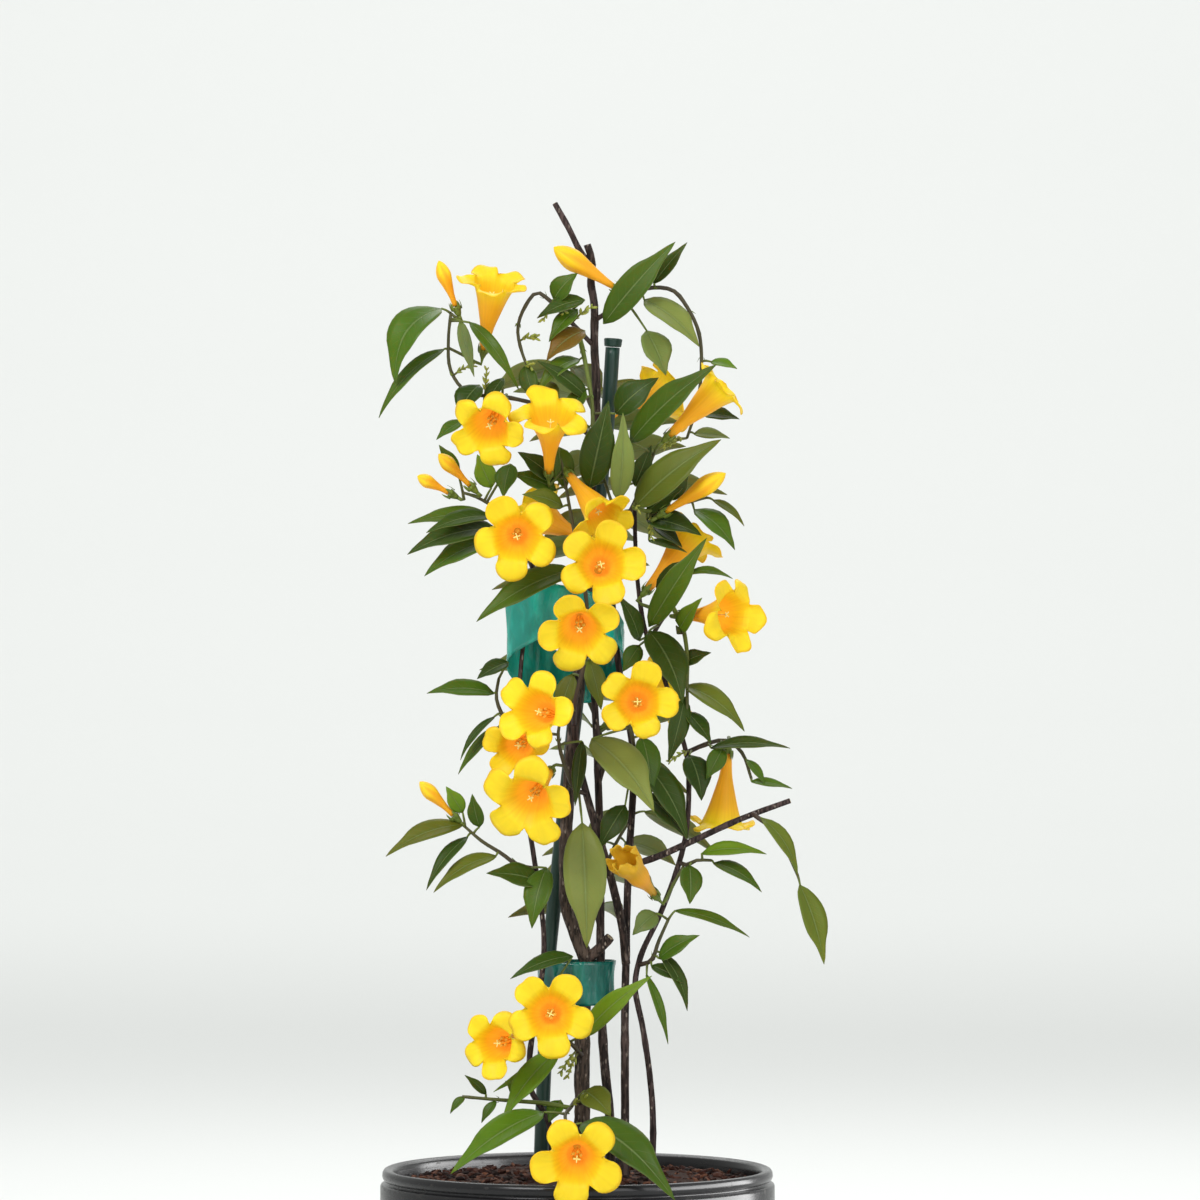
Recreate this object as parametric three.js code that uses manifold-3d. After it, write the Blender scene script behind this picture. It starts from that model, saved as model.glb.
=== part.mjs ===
// A potted Carolina jessamine: a twining climber with yellow trumpets, tied to a stake in a nursery pot.
// Millimetres, +Z up. The origin is the middle of the pot's underside, and the front of the plant faces -Y.
import * as THREE from 'three';
import { mergeVertices } from 'three/addons/utils/BufferGeometryUtils.js';
import Module from 'manifold-3d';

const wasm = await Module();
wasm.setup();

// Driving dimensions
const GAP = 0.35; // clearance between pieces that touch
const SMOOTHING = 0.07; // creases finer than this are taken out where pieces are joined
const POT_HEIGHT = 160;
const POT_BASE_RADIUS = 61;
const POT_WALL = 2.2;
const RIM_RADIUS = 83;
const RIM_BAND = 27; // height of the rim band
const LIP = 5.5; // width of the rolled lip
const POT_SIDES = 28;
const POT_NECK = RIM_RADIUS - 6.5; // outer radius just under the band
const SOIL_TOP = POT_HEIGHT - 4.5;
const SOIL_SIDES = 20;
const STEM_FOOT = 118; // how far down the stems stand in the soil
const STAKE_RADIUS = 3.1;
const STAKE_SIDES = 8;
const STAKE_FOOT = 14;
const CAP_RADIUS = 3.9;
const CAP_HEIGHT = 3.6;
const TAPE = 0.8; // thickness of the tie tape
const TUBE_LENGTH = 28;
const TUBE_FOOT_RADIUS = 1.6;
const THROAT_RADIUS = 7.4;
const BUD_FOOT_RADIUS = 1.3;
const PETAL = 0.7; // thickness of a petal
const LOBES = 5;
const BLADE = 1.2; // thickness of a leaf at its midrib
const BLADE_FOLD = 0.2; // rise of the leaf's edges, as a share of its half width
const LONG_STALK = 9; // from this length a leaf stalk bends before its blade
const LONG_LEAF = 29; // from this length a blade is bent in three places
const LEAF_STALK = 0.75; // half thickness of a leaf stalk
const CALYX_LENGTH = 4;
const CALYX_RADIUS = 2.3;
const PEDICEL = 0.8; // half thickness of a flower stalk
const SHOOT_RADIUS = 1.1;
const SHOOT_SIDES = 4;
const SHOOT_TIP = 0.8;
const FRONT_LEAN = 0.6; // how far the upper faces of the leaves turn to the side they grow on

const UP = new THREE.Vector3(0, 0, 1);
const BACKWARD = new THREE.Vector3(0, 1, 0);
const LATHE_AXIS = new THREE.Vector3(0, 1, 0);
const vector = ([x, y, z]) => new THREE.Vector3(x, y, z);

// Finishes
const finish = (color, roughness) => new THREE.MeshStandardMaterial({ color, roughness });
const FINISH = {
  pot: () => finish(0x2b2b2d, 0.4),
  soil: () => finish(0x3a2018, 0.95),
  stake: () => finish(0x12352a, 0.45),
  tape: () => finish(0x1f9a80, 0.3),
  bark: () => finish(0x4a3a34, 0.85),
  leaf: () => finish(0x3f7a22, 0.55),
  petal: () => finish(0xffd91f, 0.6),
};

// Solids: closed meshes that can be joined, cut and measured.
function solid(geometry) {
  geometry.deleteAttribute('normal');
  geometry.deleteAttribute('uv');
  const merged = mergeVertices(geometry, 1e-4);
  const vertProperties = new Float32Array(merged.attributes.position.array);
  const triVerts = new Uint32Array(merged.index.array);
  const body = new wasm.Manifold(new wasm.Mesh({ numProp: 3, vertProperties, triVerts }));
  if (body.volume() > 0) return body;
  for (let i = 0; i < triVerts.length; i += 3) {
    [triVerts[i], triVerts[i + 1]] = [triVerts[i + 1], triVerts[i]];
  }
  return new wasm.Manifold(new wasm.Mesh({ numProp: 3, vertProperties, triVerts }));
}

function geometryOf(body) {
  const mesh = body.getMesh();
  const geometry = new THREE.BufferGeometry();
  geometry.setAttribute('position', new THREE.BufferAttribute(new Float32Array(mesh.vertProperties), 3));
  geometry.setIndex(new THREE.BufferAttribute(new Uint32Array(mesh.triVerts), 1));
  geometry.computeVertexNormals();
  return geometry;
}

const joined = (bodies) => bodies.reduce((sum, body) => sum.add(body)).asOriginal().simplify(SMOOTHING);

// The largest connected body, for a piece that a cut may leave crumbs of.
function whole(body) {
  return body.decompose().reduce((best, piece) => (piece.volume() > best.volume() ? piece : best));
}

// A loft through rings of points, each ring with the same number of points, closed by flat or pointed ends.
function loft(rings) {
  const positions = [];
  const triangle = (a, b, c) => positions.push(...a.toArray(), ...b.toArray(), ...c.toArray());
  for (let i = 0; i + 1 < rings.length; i += 1) {
    const [low, high] = [rings[i], rings[i + 1]];
    const count = Math.max(low.length, high.length);
    for (let k = 0; k < count; k += 1) {
      const next = (k + 1) % count;
      if (low.length > 1) triangle(low[k], low[next], high[high.length > 1 ? next : 0]);
      if (high.length > 1) triangle(low[low.length > 1 ? k : 0], high[next], high[k]);
    }
  }
  const cap = (ring, flip) => {
    for (let k = 1; k + 1 < ring.length; k += 1) {
      if (flip) triangle(ring[0], ring[k + 1], ring[k]);
      else triangle(ring[0], ring[k], ring[k + 1]);
    }
  };
  cap(rings[0], true);
  cap(rings[rings.length - 1], false);
  const geometry = new THREE.BufferGeometry();
  geometry.setAttribute('position', new THREE.Float32BufferAttribute(positions, 3));
  return geometry;
}

// A stem swept along a route of points, thinning from its foot to its tip.
function stem(route, foot, tip, sides = 6, steps = route.length) {
  const path = new THREE.CatmullRomCurve3(route);
  const corners = Array.from({ length: sides }, (_, k) => {
    const angle = (2 * Math.PI * k) / sides;
    return new THREE.Vector2(foot * Math.cos(angle), foot * Math.sin(angle));
  });
  const geometry = new THREE.ExtrudeGeometry(new THREE.Shape(corners), { steps, extrudePath: path });
  const stations = path.getSpacedPoints(steps);
  const position = geometry.attributes.position;
  const point = new THREE.Vector3();
  for (let i = 0; i < position.count; i += 1) {
    point.fromBufferAttribute(position, i);
    const distances = stations.map((station) => station.distanceTo(point));
    const nearest = distances.indexOf(Math.min(...distances));
    const size = THREE.MathUtils.lerp(foot, tip, nearest / steps) / foot;
    point.sub(stations[nearest]).multiplyScalar(size).add(stations[nearest]);
    position.setXYZ(i, point.x, point.y, point.z);
  }
  return solid(geometry);
}

// The point nearest to a place on any of several routes, leaving out the first stretch of each.
function nearestOn(routes, place, skipped = 0) {
  const samples = routes.flatMap((route) => {
    const points = new THREE.CatmullRomCurve3(route).getSpacedPoints(120);
    return points.filter((point) => point.distanceTo(route[0]) >= skipped);
  });
  return samples.reduce((best, point) => (point.distanceTo(place) < best.distanceTo(place) ? point : best));
}

// Pot: a lathed wall with a flared base of the band, a rolled double lip and a flat underside.
function pot() {
  const bandFoot = POT_HEIGHT - RIM_BAND;
  const lipEnd = RIM_RADIUS - LIP;
  const profile = [
    [0, 0],
    [POT_BASE_RADIUS - 1.5, 0],
    [POT_BASE_RADIUS, 1.5],
    [POT_NECK, bandFoot - 3],
    [RIM_RADIUS - 1, bandFoot],
    [RIM_RADIUS, bandFoot + 2],
    [RIM_RADIUS, POT_HEIGHT - 4],
    [RIM_RADIUS - 1, POT_HEIGHT - 1],
    [RIM_RADIUS - 2.6, POT_HEIGHT],
    [RIM_RADIUS - 3.6, POT_HEIGHT - 1],
    [RIM_RADIUS - 4.6, POT_HEIGHT - 0.6],
    [lipEnd, POT_HEIGHT - 1.8],
    [lipEnd - 0.8, bandFoot + 1],
    [POT_NECK - POT_WALL, bandFoot - 5],
    [POT_BASE_RADIUS - POT_WALL, POT_WALL],
    [0, POT_WALL],
  ];
  const points = profile.map(([radius, height]) => new THREE.Vector2(radius, height));
  const geometry = new THREE.LatheGeometry(points, POT_SIDES);
  geometry.rotateX(Math.PI / 2);
  return solid(geometry);
}

// Soil: fills the pot inside its wall, with a lumpy top and plain holes for what stands in it.
function soil(standing) {
  const slack = Math.cos(Math.PI / POT_SIDES); // the pot's wall is flat between its corners
  const inner = RIM_RADIUS - LIP - 0.8;
  const ring = (radius, height, lumps = 0) => {
    return Array.from({ length: SOIL_SIDES }, (_, k) => {
      const angle = (2 * Math.PI * k) / SOIL_SIDES;
      const lump = 0.7 * Math.sin(5 * angle + radius) + 0.6 * Math.cos(3 * angle - 0.4 * radius);
      return new THREE.Vector3(radius * Math.cos(angle), radius * Math.sin(angle), height + lump * lumps);
    });
  };
  const rings = [
    ring((POT_BASE_RADIUS - POT_WALL) * slack - GAP, POT_WALL + GAP),
    ring((POT_NECK - POT_WALL) * slack - GAP, POT_HEIGHT - RIM_BAND - 5),
    ring(inner * slack - GAP, POT_HEIGHT - RIM_BAND + 1.6),
    ring(inner * slack - GAP, SOIL_TOP - 1.5),
    ring(48, SOIL_TOP + 0.5, 1),
    [new THREE.Vector3(0, 0, SOIL_TOP + 1.5)],
  ];
  const holes = standing.map(({ route, foot, tip, sides }) => {
    const lowered = [route[0].clone().setZ(route[0].z - GAP), ...route.slice(1)];
    return stem(lowered, foot + GAP, tip + GAP, sides);
  });
  return whole(holes.reduce((ground, hole) => ground.subtract(hole), solid(loft(rings))));
}

// Stake: bowed a little, with a wider cap on its top.
const STAKE_ROUTE = [
  [-17, 5, STAKE_FOOT],
  [-16.4, 5, 90],
  [-15.3, 5, 168],
  [-13.9, 5, 205],
  [-12.8, 5, 240],
  [-9.4, 5, 275],
  [0, 5, 360],
  [8, 5, 432],
  [13, 5, 479],
  [14.8, 5, 505.4],
].map(vector);

function stakeCap() {
  const top = STAKE_ROUTE[STAKE_ROUTE.length - 1];
  const lean = top.clone().sub(STAKE_ROUTE[STAKE_ROUTE.length - 2]).normalize();
  const profile = [
    [0, 0],
    [CAP_RADIUS - 0.5, 0],
    [CAP_RADIUS, 0.8],
    [CAP_RADIUS, CAP_HEIGHT - 1],
    [CAP_RADIUS - 1, CAP_HEIGHT],
    [0, CAP_HEIGHT],
  ];
  const geometry = new THREE.LatheGeometry(profile.map(([r, h]) => new THREE.Vector2(r, h)), 12);
  geometry.applyQuaternion(new THREE.Quaternion().setFromUnitVectors(LATHE_AXIS, lean));
  geometry.translate(...top.clone().addScaledVector(lean, GAP).toArray());
  return solid(geometry);
}

// Ties: a loop of wide tape round the bundle, its height changing round the loop.
function tie(loop, height, tilt, width) {
  const path = new THREE.CatmullRomCurve3(loop.map(([x, y]) => new THREE.Vector3(x, y, 0)), true);
  const count = loop.length * 2;
  const rings = path.getSpacedPoints(count).slice(0, count).map((point, i) => {
    const along = path.getTangentAt(i / count);
    const outward = new THREE.Vector3(along.y, -along.x, 0).normalize();
    const middle = height + tilt * point.y;
    const half = width(point.x) / 2;
    const corner = (side, rise) => {
      return point.clone().addScaledVector(outward, (side * TAPE) / 2).setZ(middle + rise);
    };
    return [corner(-1, -half), corner(1, -half), corner(1, half), corner(-1, half)];
  });
  const positions = [];
  rings.forEach((ring, i) => {
    const next = rings[(i + 1) % count];
    ring.forEach((corner, k) => {
      const after = (k + 1) % ring.length;
      const quad = [corner, next[k], next[after], corner, next[after], ring[after]];
      quad.forEach((point) => positions.push(...point.toArray()));
    });
  });
  const geometry = new THREE.BufferGeometry();
  geometry.setAttribute('position', new THREE.Float32BufferAttribute(positions, 3));
  return solid(geometry);
}

// Woody stems: route, radius at the foot and at the tip, and side branches that end in a cut.
const WOOD = {
  main_stem: {
    foot: 3.7,
    tip: 1.6,
    route: [
      [2, -3, STEM_FOOT],
      [2, -3, 160],
      [2, -3, 200],
      [2.5, -4, 230],
      [4, -4, 246],
      [0, -4, 257],
      [-4, -4, 268],
      [-5, -4, 292],
      [-3, -4, 330],
      [1, -4, 370],
      [4, -4, 410],
      [6, -3, 450],
      [8, -1, 485],
      [7, 0, 506],
      [7, 0, 523],
      [5.6, 0, 532],
      [6.2, 0, 541],
      [4, 0, 548.5],
    ],
    branches: [
      { route: [[6, 0, 539], [1, 0, 546], [-4, 1, 556], [-9.5, 2, 566]], foot: 1.5, tip: 1.2 },
      { route: [[4, -4, 248], [9, -6, 252.5], [13.7, -8, 257.5]], foot: 2.5, tip: 2.1 },
    ],
  },
  right_vine: {
    foot: 2,
    tip: 1.3,
    route: [
      [20, -2, STEM_FOOT],
      [20, -2, 170],
      [20, -2, 230],
      [20.4, -1, 248],
      [20.8, 0, 268],
      [21.6, 1, 290],
      [22.9, 2, 310],
      [23.7, 2, 330],
      [22, 2, 345],
      [18.7, 2, 362],
      [15.8, 1, 384],
      [14.5, 0, 410],
      [17, 0, 432],
    ],
    branches: [
      {
        route: [
          [20.4, -1.2, 246],
          [18.7, -4, 262],
          [12.8, -9, 287],
          [6, -12, 310],
          [0.6, -13, 331],
          [-1.5, -13, 349],
          [1, -12, 370],
          [4, -10, 392],
        ],
        foot: 1.9,
        tip: 1.4,
      },
      {
        route: [
          [21.6, 1, 287],
          [34, -9, 291.5],
          [48, -13, 298],
          [70, -14, 308],
          [89, -15, 315],
        ],
        foot: 1.5,
        tip: 1.2,
      },
    ],
  },
  outer_vine: {
    foot: 1.5,
    tip: 0.9,
    route: [
      [31, -6, STEM_FOOT],
      [31.5, -6, 162],
      [31.7, -6, 181],
      [30.5, -5, 198],
      [27.5, -5, 219],
      [24.2, -6, 237],
      [26.4, -6, 249],
      [34.7, -5, 267],
      [42.2, -4, 287],
      [45.6, -4, 301],
      [46.8, -3, 320],
      [46, -2, 333],
      [42.6, -1, 346],
      [36.4, 1, 366],
      [28.8, 2, 385],
      [25, 3, 410],
      [24, 4, 438],
    ],
    branches: [],
  },
  back_vine: {
    foot: 2.3,
    tip: 1.2,
    route: [
      [14, 7, STEM_FOOT],
      [14, 7, 155],
      [13.6, 7, 180],
      [11, 7, 208],
      [9.8, 7.5, 240],
      [9.5, 10, 294],
      [8, 13, 340],
      [6, 15, 385],
      [8, 14, 430],
      [9, 13, 470],
    ],
    branches: [],
  },
  left_vine: {
    foot: 1.4,
    tip: 0.9,
    route: [
      [-11, -5, STEM_FOOT],
      [-11, -5, 158],
      [-12, -5.5, 179],
      [-20, -8, 195],
      [-20, -8.5, 208],
      [-17, -9, 228],
      [-14, -9, 254],
      [-18.7, -9, 294],
      [-23, -9, 318],
      [-25, -8, 342],
      [-24, -6, 368],
      [-21, -4, 395],
      [-17, -3, 425],
    ],
    branches: [],
  },
};

// Leafy shoots. Each grows from a woody stem, at the height of its seat, along its route.
// A leaf is [start of the blade, tip, width, lift of its middle].
// A flower is { mouth, facing, span, roll }, a bud is { base, tip, width }.
const SHOOTS = [
  {
    name: 'shoot_top_left',
    on: 'main_stem',
    seat: 466,
    route: [
      [-2, -9, 474],
      [-14, -12, 480],
      [-30, -13, 484],
      [-46, -14, 486],
      [-53, -14, 495],
      [-54, -14, 508],
      [-53, -14, 519],
    ],
    leaves: [
      [[-57, -15, 521], [-76, -22, 489], 18, 11],
      [[-56, -14, 504], [-83, -20, 475], 8, 5],
      [[-49, -16, 516], [-43, -24, 492], 5.5, 1],
      [[-45, -18, 515], [-24, -26, 486], 6, 9],
      [[-41, -16, 489], [-50, -22, 475], 12, 2],
      [[-31, -14, 492], [-40, -22, 477], 7, 1],
      [[-48, -15, 474], [-59, -18, 466], 7, 1],
    ],
    flowers: [
      { mouth: [-35, -26, 529], facing: [0.15, -0.45, 0.88], span: 32, roll: 10 },
      { mouth: [-37, -43, 470], facing: [-0.2, -0.86, -0.42], span: 36, roll: 14 },
    ],
    buds: [{ base: [-51, -14, 522], tip: [-58, -15, 541], width: 6 }],
  },
  {
    name: 'shoot_crown',
    on: 'main_stem',
    seat: 506,
    route: [
      [-4, -5, 517],
      [-12, -6, 525],
      [-17, -7, 528],
      [-22, -9, 522],
      [-25, -10, 513],
      [-23, -10, 502],
      [-17, -11, 489],
    ],
    branches: [
      [
        [0, -4, 513],
        [3, -9, 500],
        [6, -12, 482],
        [7, -15, 466],
        [11, -16, 450],
        [15, -15, 438],
      ],
    ],
    leaves: [
      [[-10, -7, 525], [0, -10, 536], 10, 2],
      [[3, -9, 525], [-17, -13, 517], 9, 2],
      [[0, -8, 521], [-12, -14, 507], 8, 2],
      [[3, -9, 512], [-13, -15, 499], 12, 3],
      [[-22, -11, 497], [-18, -16, 482], 8, 1],
      [[-16, -11, 490], [-7, -16, 480], 9, 1],
      [[4, -14, 484], [-17, -20, 499], 8, 2],
      [[3, -14, 487], [-6, -20, 474], 8, 1],
      [[16, -13, 477], [34, -15, 492], 13, 3],
      [[5, -20, 446], [13, -26, 482], 14, 3],
      [[17, -18, 441], [19, -28, 477], 10, 4],
      [[1, -9, 500], [-17, -17, 485], 9, 5],
    ],
    flowers: [],
    buds: [],
  },
  {
    name: 'shoot_top_right',
    on: 'main_stem',
    seat: 517,
    route: [
      [14, -4, 521],
      [22, -6, 527],
      [30, -6, 530],
      [40, -6, 529],
      [46, -6, 522],
      [51, -6, 511],
      [52, -6, 496],
      [50, -5, 480],
      [46, -4, 467],
    ],
    leaves: [
      [[11, -8, 515], [41, -14, 549], 13, 3],
      [[32, -7, 532], [46, -9, 549], 6, 1],
      [[28, -8, 525], [51, -16, 505], 15, 3],
      [[29, -9, 512], [37, -14, 493], 14, 1],
      [[56, -7, 499], [67, -9, 496], 6, 1],
      [[53, -4, 477], [68, -6, 475], 8, 1],
      [[49, -2, 469], [64, -3, 467], 7, 1],
    ],
    flowers: [],
    buds: [{ base: [16, -6, 530], tip: [-10, -9, 547], width: 9 }],
  },
  {
    name: 'shoot_right_upper',
    on: 'right_vine',
    seat: 426,
    route: [[23, -7, 438], [28, -9, 450], [32, -10, 460]],
    branches: [[[23, -7, 438], [31, -6, 436], [38, -5, 438], [46, -5, 440], [54, -5, 442]]],
    leaves: [
      [[22, -15, 465], [58, -33, 497], 14, 4],
      [[24, -14, 438], [60, -24, 466], 16, 4],
      [[29, -6, 433], [52, -14, 426], 14, 2],
      [[32, -4, 430], [44, -8, 421], 8, 1],
      [[49, -6, 437], [66, -12, 420], 12, 3],
      [[57, -6, 441], [70, -8, 430], 5, 2],
      [[38, -4, 441], [47, -2, 453], 8, 1],
      [[30, -3, 424], [46, -6, 419], 5, 1],
      [[29, -5, 436], [44, -8, 446], 9, 1],
      [[24, -10, 447], [31, -11, 464], 8, 1],
    ],
    flowers: [{ mouth: [59, -18, 487], facing: [0.73, -0.12, 0.68], span: 30, roll: 20 }],
    buds: [{ base: [37, -12, 436], tip: [62, -18, 452], width: 8 }],
  },
  {
    name: 'shoot_right_low_mid',
    on: 'outer_vine',
    seat: 384,
    route: [[35, -3, 390], [40, -6, 396], [43, -8, 404]],
    leaves: [
      [[33, -8, 404], [50, -14, 416], 8, 2],
      [[46, -9, 410], [65, -14, 408], 5, 3],
      [[42, -9, 385], [52, -16, 400], 8, 2],
      [[30, -14, 388], [54, -24, 425], 11, 4],
      [[30, -11, 386], [44, -22, 356], 17, 4],
      [[26, -9, 382], [17, -14, 401], 9, 2],
      [[26, -10, 380], [19, -14, 369], 8, 1],
      [[43, -9, 372], [56, -12, 377], 8, 1],
      [[45, -9, 363], [70, -14, 344], 12, 4],
      [[45, -9, 358], [38, -14, 331], 9, 2],
      [[46, -9, 352], [56, -13, 339], 9, 1],
    ],
    flowers: [
      { mouth: [64, -30, 393], facing: [0.72, -0.68, 0.02], span: 36, roll: 0 },
      { mouth: [47, 10, 424], facing: [0.62, 0.3, 0.72], span: 34, roll: 30 },
    ],
    buds: [],
    branches: [[[40, -6, 396], [44, -10, 388], [46, -11, 376], [46, -11, 364], [46, -10, 350]]],
  },
  {
    name: 'shoot_centre',
    on: 'right_vine_branch',
    seat: 346,
    route: [
      [-1, -22, 356],
      [3, -24, 374],
      [4, -24, 396],
      [0, -22, 420],
      [-4, -20, 442],
      [-7, -18, 460],
    ],
    leaves: [
      [[-8, -24, 463], [-5, -30, 445], 11, 2],
      [[-6, -22, 438], [-23, -28, 443], 9, 2],
      [[-2, -24, 412], [-42, -30, 390], 14, 4],
      [[-9, -16, 449], [-25, -14, 461], 9, 2],
      [[-9, -15, 445], [-28, -13, 452], 9, 2],
      [[5, -15, 374], [10, -17, 353], 9, 1],
      [[-2, -15, 368], [-8, -18, 349], 9, 1],
    ],
    flowers: [
      { mouth: [1, -54, 386], facing: [0, -0.95, -0.3], span: 38, roll: 0 },
      { mouth: [10, -49, 414], facing: [0.05, -0.99, 0.1], span: 39, roll: 36 },
      { mouth: [10, -40, 434], facing: [0.47, -0.65, -0.6], span: 30, roll: 0 },
      { mouth: [-11, -38, 475], facing: [0.03, -0.6, 0.8], span: 37, roll: 0 },
    ],
    buds: [],
  },
  {
    name: 'shoot_left_mid',
    on: 'left_vine',
    seat: 412,
    route: [[-22, -8, 420], [-28, -11, 430], [-34, -12, 437], [-42, -12, 442], [-48, -13, 444]],
    leaves: [
      [[-38, -13, 435], [-71, -14, 431], 9, 2],
      [[-36, -14, 434], [-63, -26, 427], 10, 3],
      [[-34, -12, 429], [-71, -22, 418], 15, 4],
      [[-31, -11, 425], [-64, -18, 409], 14, 4],
      [[-50, -12, 452], [-58, -12, 464], 6, 1],
      [[-28, -14, 456], [-31, -18, 442], 10, 1],
      [[-36, -13, 446], [-42, -13, 460], 9, 1],
    ],
    flowers: [{ mouth: [-25, -46, 425], facing: [0, -0.99, -0.1], span: 39, roll: 8 }],
    buds: [
      { base: [-45, -16, 447], tip: [-58, -20, 460], width: 6 },
      { base: [-54, -11, 444], tip: [-67, -13, 451], width: 5.5 },
    ],
  },
  {
    name: 'shoot_left_low',
    on: 'left_vine',
    seat: 344,
    route: [[-31, -10, 350], [-34, -10, 358], [-33, -9, 366]],
    leaves: [
      [[-35, -11, 360], [-63, -16, 360], 10, 3],
      [[-29, -11, 373], [-42, -16, 366], 9, 1],
      [[-35, -12, 350], [-49, -16, 332], 4, 3],
      [[-33, -10, 346], [-50, -12, 326], 6, 2],
    ],
    flowers: [],
    buds: [],
  },
  {
    name: 'shoot_front_low',
    on: 'right_vine_branch',
    seat: 316,
    route: [[-1, -19, 320], [-6, -21, 332], [-8, -21, 342], [-7, -20, 350]],
    leaves: [
      [[2, -22, 306], [4, -30, 254], 18, 5],
      [[2, -19, 340], [-1, -24, 313], 6, 1],
    ],
    flowers: [
      { mouth: [-17, -48, 353], facing: [-0.35, -0.93, 0.08], span: 36, roll: 14 },
      { mouth: [-25, -30, 338], facing: [-0.25, -0.95, -0.2], span: 31, roll: 36, tube: 20 },
      { mouth: [-20, -52, 316], facing: [-0.3, -0.86, -0.4], span: 43, roll: 22 },
    ],
    buds: [],
  },
  {
    name: 'shoot_far_left',
    on: 'left_vine',
    seat: 286,
    route: [[-25, -12, 288], [-32, -13, 293], [-40, -13, 298], [-47, -13, 304]],
    leaves: [
      [[-48, -14, 305], [-80, -22, 292], 11, 4],
      [[-46, -15, 300], [-63, -24, 278], 7, 3],
      [[-34, -15, 292], [-60, -24, 277], 9, 4],
      [[-48, -12, 310], [-55, -10, 321], 7, 1],
      [[-41, -14, 304], [-44, -18, 318], 7, 1],
      [[-15, -16, 281], [-38, -22, 285], 12, 2],
      [[-13, -17, 287], [-19, -25, 262], 12, 3],
    ],
    flowers: [],
    buds: [{ base: [-52, -14, 309], tip: [-66, -16, 323], width: 6 }],
  },
  {
    name: 'shoot_centre_right',
    on: 'right_vine',
    seat: 332,
    route: [[24, -7, 336], [23, -14, 341], [21, -17, 350]],
    leaves: [
      [[6, -20, 341], [32, -33, 311], 19, 5],
      [[27, -14, 342], [31, -20, 318], 11, 2],
      [[27, -11, 332], [46, -18, 299], 14, 4],
      [[28, -12, 318], [46, -16, 299], 12, 2],
      [[20, -11, 313], [9, -15, 295], 10, 2],
    ],
    flowers: [{ mouth: [25, -46, 357], facing: [0, -0.99, 0.05], span: 36, roll: 36 }],
    buds: [],
  },
  {
    name: 'shoot_right_low',
    on: 'outer_vine',
    seat: 336,
    route: [[53, -3, 338], [62, -2, 340], [69, -4, 335], [73, -6, 324]],
    leaves: [
      [[56, -8, 337], [89, -14, 337], 7, 3],
      [[71, -7, 332], [79, -10, 321], 5, 1],
      [[73, -8, 323], [90, -10, 320], 5, 1],
      [[47, -8, 334], [52, -14, 315], 13, 2],
      [[61, -8, 337], [54, -13, 324], 8, 1],
    ],
    flowers: [{ mouth: [61, 8, 306], facing: [-0.08, 0.04, -0.99], span: 32, roll: 0 }],
    buds: [],
  },
  {
    name: 'shoot_twig',
    on: 'outer_vine',
    seat: 288,
    route: [[46, -10, 288], [50, -13, 290], [56, -14, 290]],
    leaves: [
      [[52, -16, 293], [79, -22, 293], 8, 3],
      [[57, -15, 289], [77, -20, 277], 8, 3],
      [[47, -14, 288], [47, -20, 272], 10, 1],
    ],
    flowers: [{ mouth: [22, -26, 288], facing: [-0.5, -0.62, 0.6], span: 24, roll: 0, tube: 20 }],
    buds: [],
  },
  {
    name: 'shoot_drooping',
    on: 'right_vine_twig',
    seat: 309.5,
    route: [[74, -18, 309], [81, -20, 304], [87, -21, 295], [92, -21, 284]],
    leaves: [
      [[77, -20, 308], [92, -24, 284], 8, 4],
      [[93, -21, 280], [103, -23, 247], 12, 2],
    ],
    flowers: [],
    buds: [],
  },
  {
    name: 'shoot_low_right',
    on: 'outer_vine',
    seat: 244,
    route: [[31, -11, 248], [34, -12, 256], [38, -12, 265]],
    leaves: [
      [[41, -13, 269], [72, -16, 258], 6, 3],
      [[34, -14, 249], [51, -20, 259], 9, 2],
      [[33, -15, 268], [23, -20, 259], 9, 2],
      [[35, -12, 251], [46, -16, 227], 7, 4],
      [[31, -13, 246], [44, -18, 239], 7, 1],
      [[29, -12, 242], [38, -14, 213], 4.5, 2],
    ],
    flowers: [],
    buds: [],
  },
  {
    name: 'shoot_bottom_left',
    on: 'main_stem',
    seat: 208,
    route: [[1, -12, 209], [-2, -18, 213], [-8, -20, 219], [-12, -16, 234]],
    leaves: [
      [[2, -24, 217], [31, -36, 243], 10, 4],
      [[-8, -23, 211], [-31, -34, 183], 12, 4],
      [[-10, -20, 207], [-35, -26, 194], 5, 1],
      [[-2, -15, 250], [-28, -24, 241], 8, 3],
    ],
    flowers: [
      { mouth: [-11, -50, 228], facing: [0, -0.99, 0.05], span: 40, roll: 22 },
      { mouth: [-34, -41, 215], facing: [-0.4, -0.9, -0.05], span: 31, roll: 0, tube: 24 },
    ],
    buds: [],
  },
  {
    name: 'shoot_bottom_front',
    on: 'main_stem',
    seat: 188,
    route: [[0, -12, 190], [-3, -22, 187], [-5, -34, 185], [-4, -48, 181]],
    leaves: [
      [[3, -20, 194], [14, -28, 184], 13, 2],
      [[-7, -20, 190], [-12, -24, 181], 7, 1],
      [[-14, -32, 186], [-52, -61, 163], 14, 5],
      [[2, -50, 183], [40, -92, 155], 18, 9],
      [[-24, -24, 191], [-30, -25, 199], 4, 1],
      [[-38, -24, 193], [-47, -25, 201], 4, 1],
      [[-47, -25, 192], [-53, -26, 185], 4, 1],
      [[-34, -24, 190], [-40, -25, 181], 4.5, 1],
    ],
    flowers: [{ mouth: [0, -90, 171], facing: [0, -0.98, -0.14], span: 41, roll: 10 }],
    buds: [],
    branches: [[[-3, -22, 187], [-14, -22, 189], [-26, -23, 190], [-38, -24, 191], [-48, -25, 192]]],
  },
];

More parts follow.
